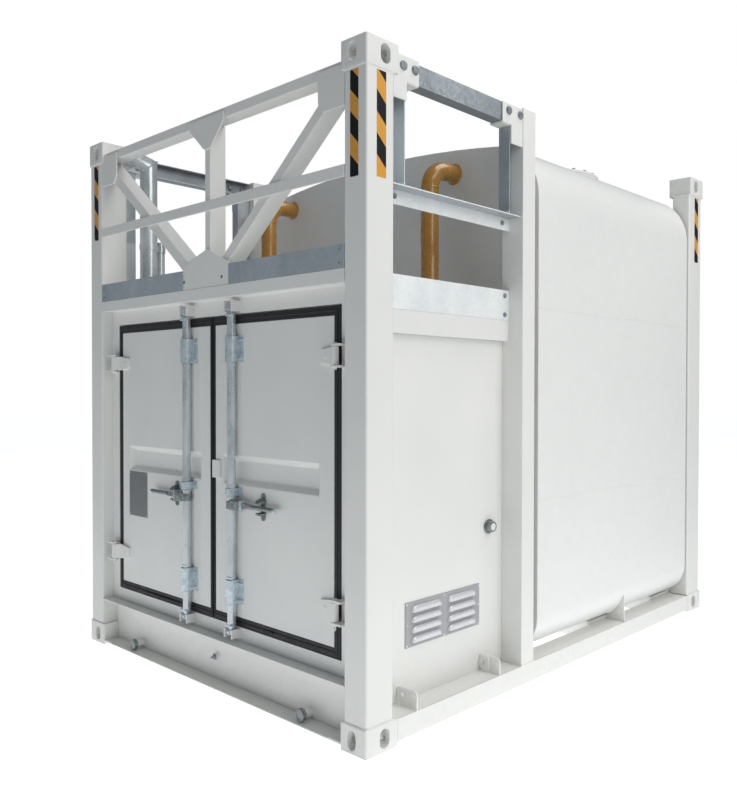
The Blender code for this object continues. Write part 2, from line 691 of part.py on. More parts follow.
def front_truss(name):
    """A post and two diagonals over the header, with gusset plates on their front."""
    post = block(name, TRUSS_POST_X, TRUSS_Y, (HEADER_Z[1], BEAM_Z[0]))
    low = HEADER_Z[1] + GAP
    casting_x = CASTING_INNER_X - GAP
    post_x = FRONT_POST_X - GAP
    casting_z = HEIGHT - CASTING_Z - GAP
    foot_z, *corner_foot = CORNER_GUSSET_FOOT
    house = [(HOUSE_FOOT_X[0], low), (HOUSE_FOOT_X[1], low), *HOUSE_GUSSET]
    corner = [(CORNER_GUSSET_X, CORNER_GUSSET_TOP), (casting_x, CORNER_GUSSET_TOP),
              (casting_x, casting_z), (post_x, casting_z), (post_x, foot_z), *corner_foot]
    members = [plate(name + "_diagonal", diagonal_outline(side), "Y", *TRUSS_Y)
               for side in SIDES.values()]
    gussets = [plate(name + "_gusset", outline, "Y", *GUSSET_Y)
               for outline in (house, CROWN_GUSSET, corner, mirrored(-1, corner))]
    return finish(join(post, *members, *gussets), WHITE)


def guard_rail(name, side):
    """A channel top rail with its angle stanchions; the near one also carries a mid rail."""
    (inner, outer), (low, high) = TOP_RAIL_X, TOP_RAIL_Z
    rail = block(name, span(side, outer - ANGLE, outer), GUARD_Y, TOP_RAIL_Z)
    pieces = [block(name + "_flange", span(side, inner, outer), GUARD_Y, z)
              for z in ((low, low + ANGLE), (high - ANGLE, high))]
    foot = MID_RAIL_Z[1] - ANGLE / 2 if side > 0 else FAR_STANCHION_FOOT
    head = low + ANGLE / 2
    for broad_y, slim_y in STANCHIONS:
        pieces.append(block(name + "_broad_leg", span(side, STANCHION_X, outer),
                            (broad_y, broad_y + ANGLE), (foot, head)))
        pieces.append(block(name + "_slim_leg", span(side, STANCHION_X, STANCHION_X + ANGLE), slim_y,
                            (foot, head)))
    if side > 0:
        mid_y = (-FRONT_POST_Y[0], MIDDLE_POST_Y[0])
        pieces.append(block(name + "_mid_leg", (MID_RAIL_X[0], MID_RAIL_X[0] + ANGLE), mid_y,
                            MID_RAIL_Z))
        pieces.append(block(name + "_mid_ledge", MID_RAIL_X, mid_y,
                            (MID_RAIL_Z[1] - ANGLE, MID_RAIL_Z[1])))
    return finish(join(rail, *pieces), GALVANISED)


def tank_pipe(name, x):
    """A pipe that rises from the deck and bends into the tank's end."""
    bend = arc(PIPE_Y + PIPE_BEND, PIPE_HEIGHT - PIPE_BEND, PIPE_BEND, 180, 90, 8)
    line = [(PIPE_Y, DECK_Z[1] + GAP)] + bend + [(TANK_Y[0] - GAP, PIPE_HEIGHT)]
    return finish(tube(name, [(x, y, z) for y, z in line], PIPE_RADIUS), MUSTARD)


def vent_risers(name):
    """A large mitred riser and a small one beside it, held together by two straps."""
    floor = DECK_Z[1] + GAP
    large = tube(name, [(*RISER_FOOT, floor), (*RISER_FOOT, RISER_KNEE_Z),
                        (RISER_FOOT[0], *RISER_OUTLET)], PIPE_RADIUS)
    small = tube(name + "_small", [(*SMALL_RISER, floor), (*SMALL_RISER, SMALL_RISER_TOP)],
                 SMALL_RISER_RADIUS)
    straps = [block(name + "_strap", STRAP_X, STRAP_Y, (z, z + STRAP_HEIGHT)) for z in STRAPS_Z]
    return finish(join(large, small, *straps), GALVANISED)


def rod_bridge_outline(side):
    """A round-backed strap seen from above, with flanges on the leaf and room for the rod."""
    x, y = ROD
    wide, lift = BEARING_FLANGE
    root, face = LEAF_Y[0] + FITTING_ROOT, LEAF_Y[0] - lift
    back = arc(x, y, BEARING_OUTER, 180, 360, 10)
    inside = arc(x, y, BEARING_ROOM, 0, -180, 10)
    return mirrored(side, [(x - wide, root), (x - wide, face), (x - BEARING_OUTER, face)] + back
                    + [(x + BEARING_OUTER, face), (x + wide, face), (x + wide, root),
                       (x + BEARING_ROOM, root)] + inside + [(x - BEARING_ROOM, root)])


def hinge_blade_outline(side):
    """A hinge blade seen from above: flat on the leaf, stepping out to its knuckle."""
    x, y = HINGE
    face = LEAF_Y[0]
    end, bend, knuckle = BLADE_X
    edge, back = LEAF_X[1] - GAP, face - HINGE_BACK
    nose = arc(x, y, HINGE_RADIUS, -90, 90, 6)
    return mirrored(side, [(end, face + FITTING_ROOT), (end, face - BLADE_LIFT),
                           (bend, face - BLADE_LIFT), (knuckle, y - HINGE_RADIUS)] + nose
                    + [(knuckle + WELD_ROOT, back), (edge, back), (edge, face + FITTING_ROOT)])


def recess(name, x, z):
    """The cutter of a shallow pocket with sloping walls, as far outside the leaf as inside."""
    tool = block(name, x, (LEAF_Y[0] - RECESS_DEPTH, LEAF_Y[0] + RECESS_DEPTH), z)
    for vertex in tool.data.vertices:
        slope = -RECESS_SLOPE if vertex.co.y > 0 else RECESS_SLOPE
        vertex.co.x += slope if vertex.co.x > 0 else -slope
        vertex.co.z += slope if vertex.co.z > 0 else -slope
    return tool


def door(name, side, recess_x, recess_z, catch_x):
    """A door leaf with its pressed recess, hinge blades, rod bearings and handle catch."""
    leaf = block(name, span(side, *LEAF_X), LEAF_Y, LEAF_Z)
    cut(leaf, recess(name + "_recess", span(side, *recess_x), recess_z))
    fittings = [plate(name + "_blade", hinge_blade_outline(side), "Z", *z) for z in HINGE_HEIGHTS]
    fittings += [plate(name + "_bearing", rod_bridge_outline(side), "Z", *z) for z in BEARINGS_Z]
    fittings += [block(name + "_catch", span(side, *catch_x), CATCH_Y, z) for z in CATCH_Z]
    if side > 0:
        face = LEAF_Y[0]
        root_x = LEAF_X[0] + LAP_ROOT
        lap = [(LAP_X[0], face - LAP_LIFT), (LAP_X[1], face - LAP_LIFT),
               (LAP_X[1], face + FITTING_ROOT), (root_x, face + FITTING_ROOT), (root_x, face + GAP),
               (LAP_X[0], face + GAP)]
        fittings.append(plate(name + "_lap", lap, "Z", *LAP_Z))
    return finish(join(leaf, *fittings), WHITE)


def door_seal(name, side):
    """The rubber frame round a leaf."""
    hole = rectangle(span(side, LEAF_X[0] - GAP, LEAF_X[1] + GAP), (LEAF_Z[0] - GAP, LEAF_Z[1] + GAP))
    return finish(plate(name, rectangle(span(side, *SEAL_X), SEAL_Z), "Y", *SEAL_Y, [hole]), RUBBER)


def lock_rod(name, side):
    """A lock rod with its handle; its origin is on the axis that it turns about."""
    axis = (side * ROD[0], ROD[1])
    rod = cylinder(name, "Z", axis, *ROD_Z, ROD_RADIUS)
    tip = side * (ROD[0] + HANDLE_LENGTH)
    handle = tube(name + "_handle", [(axis[0], axis[1], HANDLE_Z), (tip, axis[1], HANDLE_Z)],
                  HANDLE_RADIUS)
    return finish(join(rod, handle), ZINC)


def pivot(name, x, y, z):
    """An empty on a joint's axis."""
    empty = bpy.data.objects.new(name, None)
    empty.location = (x, y, z)
    empty.empty_display_size = 0.1
    parts.objects.link(empty)
    return empty


def hang(parent, *children):
    """Parents pieces, and the shapes that cut or join them, without moving them."""
    bpy.context.view_layer.update()
    undo = parent.matrix_world.inverted()
    for child in children:
        tools = [modifier.object for modifier in child.modifiers if modifier.type == "BOOLEAN"]
        for obj in (child, *tools):
            obj.parent = parent
            obj.matrix_parent_inverse = undo


def build_frame():
    """The load-bearing frame, from the ground up."""
    for side_name, side in SIDES.items():
        for end_name, end in (("front", -1), ("rear", 1)):
            for level in ("bottom", "top"):
                corner_casting(f"casting_{end_name}_{side_name}_{level}", side, end, level == "top")
        front_post("front_post_" + side_name, side)
        middle_post("middle_post_" + side_name, side)
        base_rail("base_rail_" + side_name, side)
    rear_end_frame("rear_end_frame")
    front_sill("front_sill")
    saddle("middle_saddle", MIDDLE_SADDLE_Y, True)
    saddle("rear_saddle", REAR_SADDLE_Y, False)


def build_compartment():
    """The pump compartment behind the doors, and the deck guards over it."""
    door_frame("door_frame")
    deck("deck")
    compartment_floor("compartment_floor")
    beam_x = (-CASTING_INNER_X, CASTING_INNER_X)
    finish(block("front_top_beam", beam_x, TOP_BEAM_Y, BEAM_Z), WHITE)
    front_truss("front_truss")
    rail_x = (-FRONT_POST_X, FRONT_POST_X)
    finish(block("front_mid_rail", rail_x, FRONT_RAIL_Y, FRONT_RAIL_Z), WHITE)
    board_z = (HEADER_Z[1], FRONT_BOARD_TOP)
    board_y = (FRONT_FACE, FRONT_FACE + BOARD_SHEET)
    for side_name, side in SIDES.items():
        board_x = span(side, FRONT_BOARD_X[side_name], FRONT_POST_X)
        finish(block("front_toe_board_" + side_name, board_x, board_y, board_z), GALVANISED)
        side_wall("side_wall_" + side_name, side)
        louvre_plate("louvre_plate_" + side_name, side)
        finish(block("side_toe_board_" + side_name, span(side, *SIDE_BOARD_X),
                     (-FRONT_POST_Y[0], MIDDLE_POST_Y[0]), (DECK_EDGE_TOP, SIDE_BOARD_TOP)),
               GALVANISED)
        guard_rail("guard_rail_" + side_name, side)
        tank_pipe("tank_pipe_" + side_name, PIPES[side_name])
    vent_risers("vent_risers")


def build_tank():
    """The tank: a shell between two flat ends, and the manhole cover."""
    tank_shell("tank_shell")
    tank_end("tank_front_end", (TANK_Y[0], TANK_Y[0] + TANK_SHEET))
    tank_end("tank_rear_end", (TANK_Y[1] - TANK_SHEET, TANK_Y[1]))
    finish(cylinder("manhole_cover", "Z", MANHOLE, FLANGE_Z[1], COVER_TOP, FLANGE_RADIUS, 36),
           SHELL_WHITE)


def build_doors():
    """Both leaves with their seals and lock rods, each on its hinge axis."""
    for side_name, side in SIDES.items():
        hinge = pivot("hinge_" + side_name, side * HINGE[0], HINGE[1], HINGE_HEIGHTS[1][0])
        leaf = door("door_" + side_name, side, *RECESSES[side_name], CATCHES_X[side_name])
        seal = door_seal("door_seal_" + side_name, side)
        rod = lock_rod("lock_rod_" + side_name, side)
        hang(hinge, leaf, seal, rod)


build_frame()
build_compartment()
build_tank()
build_doors()
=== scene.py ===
import math

import bmesh
import bpy
from mathutils import Matrix, Vector


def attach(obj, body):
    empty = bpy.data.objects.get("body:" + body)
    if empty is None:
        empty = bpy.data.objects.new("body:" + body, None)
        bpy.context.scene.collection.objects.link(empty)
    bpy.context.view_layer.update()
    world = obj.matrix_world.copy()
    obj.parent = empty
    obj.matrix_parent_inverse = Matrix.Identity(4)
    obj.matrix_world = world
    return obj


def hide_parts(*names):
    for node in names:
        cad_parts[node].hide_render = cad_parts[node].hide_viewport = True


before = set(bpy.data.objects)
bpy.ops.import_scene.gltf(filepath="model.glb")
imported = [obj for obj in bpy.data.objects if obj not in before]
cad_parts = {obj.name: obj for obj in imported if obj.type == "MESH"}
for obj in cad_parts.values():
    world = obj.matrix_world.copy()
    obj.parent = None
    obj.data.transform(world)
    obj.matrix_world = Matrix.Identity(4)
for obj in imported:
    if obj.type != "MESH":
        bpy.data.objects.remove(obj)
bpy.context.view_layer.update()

# The studio: a plain pale floor, a broad soft light high off the side with the mid rail, a weaker one
# overhead, and a camera at eye height off the near corner. The lens shift keeps the picture's
# own framing.
picture_width, picture_height = 737, 788
focal_length, axis_across, axis_down = 808.6, 500.0, 399.8
azimuth, pitch, roll = (math.radians(angle) for angle in (39.55, -0.81, 0.20))
ahead = Vector((-math.sin(azimuth) * math.cos(pitch), math.cos(azimuth) * math.cos(pitch),
                math.sin(pitch)))
level = Vector((math.cos(azimuth), math.sin(azimuth), 0.0))
above = level.cross(ahead)
rightward = level * math.cos(roll) + above * math.sin(roll)
upward = above * math.cos(roll) - level * math.sin(roll)
lens = bpy.data.cameras.new("camera")
lens.sensor_fit = "HORIZONTAL"
lens.sensor_width = 36.0
lens.lens = focal_length / picture_width * lens.sensor_width
lens.shift_x = (picture_width / 2 - axis_across) / picture_width
lens.shift_y = (axis_down - picture_height / 2) / picture_width
camera = bpy.data.objects.new("camera", lens)
bpy.context.scene.collection.objects.link(camera)
camera.matrix_world = (Matrix.Translation((3.668, -3.628, 1.489))
                       @ Matrix((rightward, upward, -ahead)).transposed().to_4x4())
bpy.context.scene.camera = camera
bpy.context.scene.view_settings.view_transform = "Standard"


def aimed(place, way, axis="Z"):
    """The matrix that stands a thing at a place, with one of its axes along a way."""
    turn = Vector(way).to_track_quat(axis, "Y").to_matrix().to_4x4()
    return Matrix.Translation(place) @ turn


def soft_light(name, place, target, size, power, colour=(1.0, 1.0, 1.0)):
    """A square soft box aimed at a point."""
    box = bpy.data.lights.new(name, "AREA")
    box.shape = "SQUARE"
    box.size = size
    box.energy = power
    box.color = colour
    lamp = bpy.data.objects.new(name, box)
    lamp.matrix_world = aimed(place, Vector(target) - Vector(place), "-Z")
    bpy.context.scene.collection.objects.link(lamp)


soft_light("side_light", (6.8, -0.7, 4.6), (1.2, 0.2, 1.0), 5.0, 215.0, (1.0, 0.985, 0.955))
soft_light("overhead_light", (3.0, 1.8, 8.0), (0.5, 0.8, 0.0), 4.5, 210.0)
sky = bpy.data.worlds.new("studio_wall")
bpy.context.scene.world = sky
sky.use_nodes = True
wall_light = sky.node_tree.nodes["Background"]
ray = sky.node_tree.nodes.new("ShaderNodeLightPath")
wall = sky.node_tree.nodes.new("ShaderNodeMix")
wall.data_type = "RGBA"
wall.inputs[6].default_value = (0.175, 0.194, 0.205, 1.0)
wall.inputs[7].default_value = (1.0, 1.0, 1.0, 1.0)
sky.node_tree.links.new(ray.outputs["Is Camera Ray"], wall.inputs[0])
sky.node_tree.links.new(wall.outputs[2], wall_light.inputs["Color"])


class Shade:
    """A socket of a finish. Sums, products and comparisons of it add Math nodes."""

    def __init__(self, finish, socket):
        self.finish, self.socket = finish, socket

    def math(self, operation, first, second=0.0):
        return self.finish.node("Math", {"operation": operation}, {0: first, 1: second})

    def __add__(self, other):
        return self.math("ADD", self, other)

    def __sub__(self, other):
        return self.math("SUBTRACT", self, other)

    def __rsub__(self, other):
        return self.math("SUBTRACT", other, self)

    def __mul__(self, other):
        return self.math("MULTIPLY", self, other)

    def __lt__(self, other):
        return self.math("LESS_THAN", self, other)

    def __abs__(self):
        return self.math("ABSOLUTE", self)

    __radd__, __rmul__ = __add__, __mul__


class Finish:
    """One finish, built up node by node on Object coordinates."""

    def __init__(self, name, slot, **constants):
        self.slot = slot
        self.material = bpy.data.materials.new(name)
        self.material.use_nodes = True
        self.tree = self.material.node_tree
        self.surface = self.tree.nodes["Principled BSDF"]
        for socket, value in constants.items():
            self.surface.inputs[socket.replace("_", " ")].default_value = value
        self.place = self.node("TexCoord", output="Object")

    def node(self, kind, settings=(), sockets=(), output=0):
        """Adds a node: its settings first, then a value or a link for each socket."""
        added = self.tree.nodes.new("ShaderNode" + kind)
        for name, value in dict(settings).items():
            setattr(added, name, value)
        for name, value in dict(sockets).items():
            if isinstance(value, Shade):
                self.tree.links.new(value.socket, added.inputs[name])
            else:
                added.inputs[name].default_value = value
        return Shade(self, added.outputs[output])

    def noise(self, scale, detail=2.0, stretch=(1.0, 1.0, 1.0)):
        """Cloudy noise from 0 to 1, with so many lumps to the metre."""
        place = self.node("Mapping", {}, {"Vector": self.place, "Scale": stretch})
        return self.node("TexNoise", {}, {"Vector": place, "Scale": scale, "Detail": detail})

    def spread(self, value, low, high, to_low=0.0, to_high=1.0):
        """Stretches a value from one range to another."""
        return self.node("MapRange", {"clamp": True}, {"Value": value, 1: low, 2: high, 3: to_low,
                                                       4: to_high})

    def tint(self, first, second, share):
        """Mixes two colours."""
        first, second = ((*colour, 1.0) if isinstance(colour, tuple) else colour
                         for colour in (first, second))
        return self.node("Mix", {"data_type": "RGBA"}, {0: share, 6: first, 7: second}, 2)

    def feed(self, socket, value):
        """Links a value to the surface."""
        self.tree.links.new(value.socket, self.surface.inputs[socket])

    def colour(self, first, second, share):
        """Feeds a mix of two colours to the base colour."""
        self.feed("Base Color", self.tint(first, second, share))

    def gloss(self, value, smooth, rough, low=0.3, high=0.7):
        """Feeds a value to the roughness, stretched between two degrees of it."""
        self.feed("Roughness", self.spread(value, low, high, smooth, rough))

    def along(self, axis):
        """The distance along one of the object's axes, in metres."""
        return self.node("SeparateXYZ", {}, {0: self.place}, axis)

    def relief(self, height, depth):
        """Gives the surface its small bumps, in metres."""
        bump = self.node("Bump", {}, {"Height": height, "Distance": depth, "Strength": 1.0})
        self.feed("Normal", bump)


def stage_floor():
    """A wide pale sheet under the object, lit from below as a light table is."""
    pale = Finish("studio_floor", "", Roughness=0.9, Emission_Strength=1.0)
    seen = pale.node("LightPath", output="Is Camera Ray")
    away = pale.node("VectorMath", {"operation": "DISTANCE"}, {0: pale.place, 1: (-0.8, -1.6, 0.0)},
                     "Value")
    glow = pale.tint((0.92, 0.95, 0.96), (0.20, 0.21, 0.22), pale.spread(away, 2.2, 6.5))
    pale.feed("Emission Color", pale.tint(glow, (0.88, 0.88, 0.88), seen))
    pale.colour((0.60, 0.60, 0.60), (0.57, 0.57, 0.57), pale.noise(0.6))
    sheet = bmesh.new()
    bmesh.ops.create_grid(sheet, x_segments=2, y_segments=2, size=40.0)
    mesh = bpy.data.meshes.new("studio_floor")
    sheet.to_mesh(mesh)
    sheet.free()
    mesh.materials.append(pale.material)
    ground = bpy.data.objects.new("studio_floor", mesh)
    bpy.context.scene.collection.objects.link(ground)


stage_floor()

# Corner castings: cast steel blocks with a slot in each outer face, welded to the ends of the
# posts and rails, and sprayed with them in one satin off-white coat. Their arrises are round.
frame_paint = Finish("frame_paint", "frame_paint", Coat_Weight=0.12, Coat_Roughness=0.25)
cloud = frame_paint.noise(1.7, 3.0)
film = frame_paint.noise(24.0, 3.0)
road_film = frame_paint.spread(frame_paint.along("Z") + 0.25 * cloud, 0.10, 0.50, 0.35, 0.0) * film
clean = frame_paint.tint((0.83, 0.825, 0.80), (0.78, 0.78, 0.765), frame_paint.spread(cloud, 0.3, 0.7))
frame_paint.colour(clean, (0.55, 0.52, 0.46), road_film)
frame_paint.gloss(film, 0.34, 0.50, 0.2, 0.8)
frame_paint.relief(0.75 * cloud + 0.02 * frame_paint.noise(190.0, 1.0), 0.004)


def shape_of(node, split=True):
    """The solid of a CAD node as a clean shape, its triangles merged into whole faces. Faces with
    notches or openings are split into plain ones, so that none folds over itself."""
    shape = bmesh.new()
    shape.from_mesh(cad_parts[node].data)
    bmesh.ops.remove_doubles(shape, verts=shape.verts, dist=0.00002)
    bmesh.ops.dissolve_limit(shape, angle_limit=math.radians(0.4), verts=shape.verts,
                             edges=shape.edges)
    if split:
        bmesh.ops.connect_verts_concave(shape, faces=shape.faces)
    bmesh.ops.recalc_face_normals(shape, faces=shape.faces)
    return shape


def round_off(shape, edges, radius, segments=2, clamp=True):
    """Rounds some edges. Clamped, no rounding runs into the next one."""
    bmesh.ops.bevel(shape, geom=edges, offset=radius, offset_type="OFFSET", segments=segments,
                    profile=0.5, affect="EDGES", clamp_overlap=clamp, material=-1)


def sharp_edges(shape, degrees):
    """The edges that turn by more than an angle."""
    return [edge for edge in shape.edges
            if edge.is_manifold and edge.calc_face_angle() > math.radians(degrees)]


def soften(shape, radius):
    """Rounds every arris."""
    round_off(shape, sharp_edges(shape, 40.0), radius, clamp=False)
    return shape


def piece(name, shape, finish, body="frame", stands_for=(), sheet=0.0):
    """Makes a finished shape an object: seams merged, faces outwards, flats kept flat."""
    bmesh.ops.remove_doubles(shape, verts=shape.verts, dist=0.00002)
    bmesh.ops.recalc_face_normals(shape, faces=shape.faces)
    for face in shape.faces:
        face.smooth = True
    for edge in shape.edges:
        edge.smooth = True
    for edge in sharp_edges(shape, 35.0):
        edge.smooth = False
    mesh = bpy.data.meshes.new(name)
    shape.to_mesh(mesh)
    shape.free()
    mesh.materials.append(finish.material)
    made = bpy.data.objects.new(name, mesh)
    bpy.context.scene.collection.objects.link(made)
    if sheet:
        wall = made.modifiers.new("sheet_thickness", "SOLIDIFY")
        wall.thickness = sheet
        wall.offset = 0.0
    shading = made.modifiers.new("flat_faces_stay_flat", "WEIGHTED_NORMAL")
    shading.keep_sharp = True
    shading.weight = 80
    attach(made, body)
    if stands_for:
        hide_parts(*stands_for)
    return made


def dress(nodes, finish, radius, body="frame", split=True):
    """Puts a softened copy, with its finish, in place of each CAD node."""
    for node in nodes:
        piece(node + "_finished", soften(shape_of(node, split), radius), finish, body, (node,))


sides = {"right": 1.0, "left": -1.0}
dress([f"casting_{end}_{side}_{level}" for end in ("front", "rear") for side in sides
       for level in ("bottom", "top")], frame_paint, 0.004)

# Corner posts: folded plate, square at the back and rolled at the outer edges, welded all round
# to their castings. The beads are ground little and painted over.
post_x, front_post_y, rear_post_y = (1.076, 1.214), (-1.4905, -1.342), (1.305, 1.4755)
rear_post_x, casting_height, frame_height = (1.090, 1.214), 0.118, 2.896
dress(["front_post_right", "front_post_left"], frame_paint, 0.0025)
dress(["rear_end_frame"], frame_paint, 0.0025)


def sweep(shape, path, radius, facets=16, ripple=0.0):
    """A round bar through a path. Each ring is carried along its leg to the mitre at the next
    point, and a rippled bar swells and shrinks as a weld does."""
    points = [Vector(point) for point in path]
    legs = [(after - before).normalized() for before, after in zip(points, points[1:])]
    legs.append(legs[-1])
    ring = bmesh.ops.create_circle(shape, cap_ends=True, segments=facets, radius=radius,
                                   matrix=aimed(points[0], legs[0]))["verts"]
    edges = list({edge for vertex in ring for edge in vertex.link_edges})
    swell = 1.0
    for step, point in enumerate(points[1:]):
        mitre = (legs[step] + legs[step + 1]).normalized()
        grown = bmesh.ops.extrude_edge_only(shape, edges=edges)["geom"]
        edges = [part for part in grown if isinstance(part, bmesh.types.BMEdge)
                 and len(part.link_faces) == 1]
        target = 1.0 + ripple * math.sin(2.4 * step) * math.sin(0.7 * step)
        for vertex in {vertex for edge in edges for vertex in edge.verts}:
            reach = (point - vertex.co).dot(mitre) / legs[step].dot(mitre)
            vertex.co += legs[step] * reach
            vertex.co = point + (vertex.co - point) * (target / swell)
        swell = target
    bmesh.ops.holes_fill(shape, edges=edges, sides=0)


def weld(shape, corners, radius=0.0035, pitch=0.008):
    """A weld bead along straight legs, with the ripple of its runs."""
    path = [Vector(corners[0])]
    for corner in corners[1:]:
        start, leg = path[-1].copy(), Vector(corner) - path[-1]
        runs = max(1, round(leg.length / pitch))
        path += [start + leg * (run + 1) / runs for run in range(runs)]
    sweep(shape, path, radius, 8, 0.22)


def around(x, y, z):
    """The corners of a level rectangle, back to its first one."""
    return [(x[0], y[0], z), (x[1], y[0], z), (x[1], y[1], z), (x[0], y[1], z), (x[0], y[0], z)]


beads = bmesh.new()
for side in sides.values():
    for across, along in ((post_x, front_post_y), (rear_post_x, rear_post_y)):
        for joint in (casting_height + 0.001, frame_height - casting_height - 0.001):
            weld(beads, around([side * x for x in across], along, joint))
    for joint in (-1.3165, 1.3165):
        weld(beads, [(side * 1.079, joint, 0.016), (side * 1.079, joint, 0.112),
                     (side * 1.214, joint, 0.112), (side * 1.214, joint, 0.016)])
piece("corner_welds", beads, frame_paint)

# Hazard tape: self-adhesive vinyl, 50 mm wide, stuck on the posts just under the top castings.
# Its black bands lean at 45 degrees and are as broad as the yellow ones.
tape_z, band = (2.338, 2.766), 0.0868
tape_yellow = Finish("hazard_tape_yellow", "yellow_paint", Coat_Weight=0.4, Coat_Roughness=0.15)
scuff = tape_yellow.noise(35.0, 4.0)
tape_yellow.colour((0.78, 0.37, 0.035), (0.66, 0.29, 0.03), scuff)
tape_yellow.gloss(scuff, 0.28, 0.48)
tape_black = Finish("hazard_tape_black", "rubber", Specular_IOR_Level=0.22)
scuff = tape_black.noise(35.0, 4.0)
tape_black.colour((0.004, 0.004, 0.005), (0.012, 0.012, 0.014), scuff)
tape_black.gloss(scuff, 0.45, 0.65)


def slab(shape, x, y, z, radius=0.0, segments=2):
    """A plate or block between planes, with its arrises rounded."""
    middle = Vector((sum(x) / 2, sum(y) / 2, sum(z) / 2))
    size = (abs(x[1] - x[0]), abs(y[1] - y[0]), abs(z[1] - z[0]), 1.0)
    corners = bmesh.ops.create_cube(shape, size=1.0,
                                    matrix=Matrix.Translation(middle) @ Matrix.Diagonal(size))["verts"]
    if radius:
        round_off(shape, list({edge for vertex in corners for edge in vertex.link_edges}), radius,
                  segments)


def cut(shape, point, facing, keep=True):
    """Cuts a shape along a plane. Without keep, what lies on the side that it faces goes."""
    bmesh.ops.bisect_plane(shape, geom=shape.verts[:] + shape.edges[:] + shape.faces[:],
                           plane_co=point, plane_no=facing, clear_outer=not keep)


def hazard_tape(name, x, y, lean, start):
    """A strip of tape, cut along the edges of its bands. Lean is the way down the bands."""
    tape = bmesh.new()
    slab(tape, x, y, tape_z)
    run = Vector(lean) + Vector((0.0, 0.0, 1.0))
    for count in range(-60, 60):
        cut(tape, run * ((start + count * band) / run.length_squared), run)
    strip = piece(name, tape, tape_yellow)
    strip.data.materials.append(tape_black.material)
    for face in strip.data.polygons:
        place = (face.center.dot(run) - start) / band
        face.material_index = math.floor(place) % 2 == 0


tape_lift, tape_sunk = 0.0008, 0.0005
front_face, flank_face = front_post_y[0], post_x[1]
for side_name, side in sides.items():
    flank_layer = (side * (flank_face - tape_sunk), side * (flank_face + tape_lift))
    hazard_tape("front_tape_" + side_name, (side * 1.115, side * 1.165),
                (front_face - tape_lift, front_face + tape_sunk), (1.0, 0.0, 0.0),
                3.8065 if side > 0 else 1.536)
    hazard_tape("side_tape_" + side_name, flank_layer, (-1.437, -1.387), (0.0, side, 0.0), 1.163)
    hazard_tape("rear_tape_" + side_name, flank_layer, (1.381, 1.431), (0.0, side, 0.0), 3.900)

# Base rails: heavy channel between the bottom castings, with plate lugs on their ledge for
# lashings. They and the cross members under the tank are welded and painted with the frame.
dress(["base_rail_right", "base_rail_left"], frame_paint, 0.002)
dress(["middle_saddle", "rear_saddle"], frame_paint, 0.0018)
dress(["middle_post_right", "middle_post_left"], frame_paint, 0.0022)
lug_foot, lug_tip, lug_half, ledge_bead_z = 1.108, 1.209, 0.0045, 0.113
doubler_y, doubler_tip, wall_foot = -0.6575, 1.144, 1.0865
beads = bmesh.new()
for side in sides.values():
    for lug_y, front_start in ((-1.200, lug_foot), (-0.645, doubler_tip + 0.006)):
        for face, start in ((lug_y - lug_half, front_start), (lug_y + lug_half, lug_foot)):
            weld(beads, [(side * start, face, ledge_bead_z), (side * lug_tip, face, ledge_bead_z)], 0.003)
    weld(beads, [(side * x, doubler_y, ledge_bead_z) for x in (lug_foot, doubler_tip)], 0.003)
    weld(beads, around((side * 1.082, side * 1.214), (-0.483, -0.384), 0.1125), 0.003)
    for step in range(4):
        start = -1.28 + 0.20 * step
        weld(beads, [(side * wall_foot, start + run, 0.114) for run in (0.0, 0.09)], 0.0025)
piece("rail_welds", beads, frame_paint)

# Front sill: a folded channel under the doors. Two drain stubs with dark threaded caps and an
# earthing boss with a plated bolt stand out of its web.
dress(["front_sill"], frame_paint, 0.0018)
zinc = Finish("zinc_plate", "zinc_steel", Metallic=0.45)
haze = zinc.noise(30.0, 4.0)
zinc.colour((0.66, 0.75, 0.80), (0.44, 0.52, 0.57), zinc.spread(haze, 0.35, 0.7))
zinc.gloss(zinc.noise(75.0, 3.0), 0.24, 0.42)
zinc.relief(haze, 0.0006)
bolt_zinc = Finish("bolt_zinc", "zinc_steel", Metallic=0.5)
haze = bolt_zinc.noise(55.0, 4.0)
bolt_zinc.colour((0.42, 0.46, 0.48), (0.20, 0.23, 0.25), bolt_zinc.spread(haze, 0.3, 0.7))
bolt_zinc.gloss(haze, 0.26, 0.45)
bolt_zinc.relief(haze, 0.0008)
dark_zinc = Finish("dark_zinc", "zinc_steel", Metallic=0.7)
haze = dark_zinc.noise(60.0, 5.0)
dark_zinc.colour((0.18, 0.20, 0.20), (0.42, 0.45, 0.45), dark_zinc.spread(haze, 0.35, 0.75))
dark_zinc.gloss(haze, 0.32, 0.55)
dark_zinc.relief(haze, 0.0012)


def turned(shape, profile, axis_at, facing, steps=32):
    """Spins a profile of (radius, height) points about an axis that faces one way."""
    old = set(shape.verts)
    line = [shape.verts.new((radius, 0.0, height)) for radius, height in profile]
    edges = [shape.edges.new(pair) for pair in zip(line, line[1:])]
    bmesh.ops.spin(shape, geom=line + edges, cent=(0, 0, 0), axis=(0, 0, 1), angle=math.tau,
                   steps=steps, use_merge=True)
    fresh = [vertex for vertex in shape.verts if vertex not in old]
    bmesh.ops.transform(shape, verts=fresh, matrix=aimed(axis_at, facing))


def bolt(shape, seat, facing, across_flats=0.024, head=0.0075, washer=0.017):
    """A hex head on a round washer."""
    turned(shape, [(0.0, 0.0), (washer, 0.0), (washer, 0.0016), (washer - 0.0008, 0.0022), (0.0, 0.0022)],
           seat, facing, 20)
    old = set(shape.verts)
    stand = aimed(seat, facing) @ Matrix.Translation((0.0, 0.0, 0.0018 + head / 2))
    bmesh.ops.create_cone(shape, cap_ends=True, segments=6, radius1=across_flats / math.sqrt(3),
                          radius2=across_flats / math.sqrt(3), depth=head, matrix=stand)
    edges = list({edge for vertex in shape.verts if vertex not in old for edge in vertex.link_edges})
    round_off(shape, edges, 0.0012)


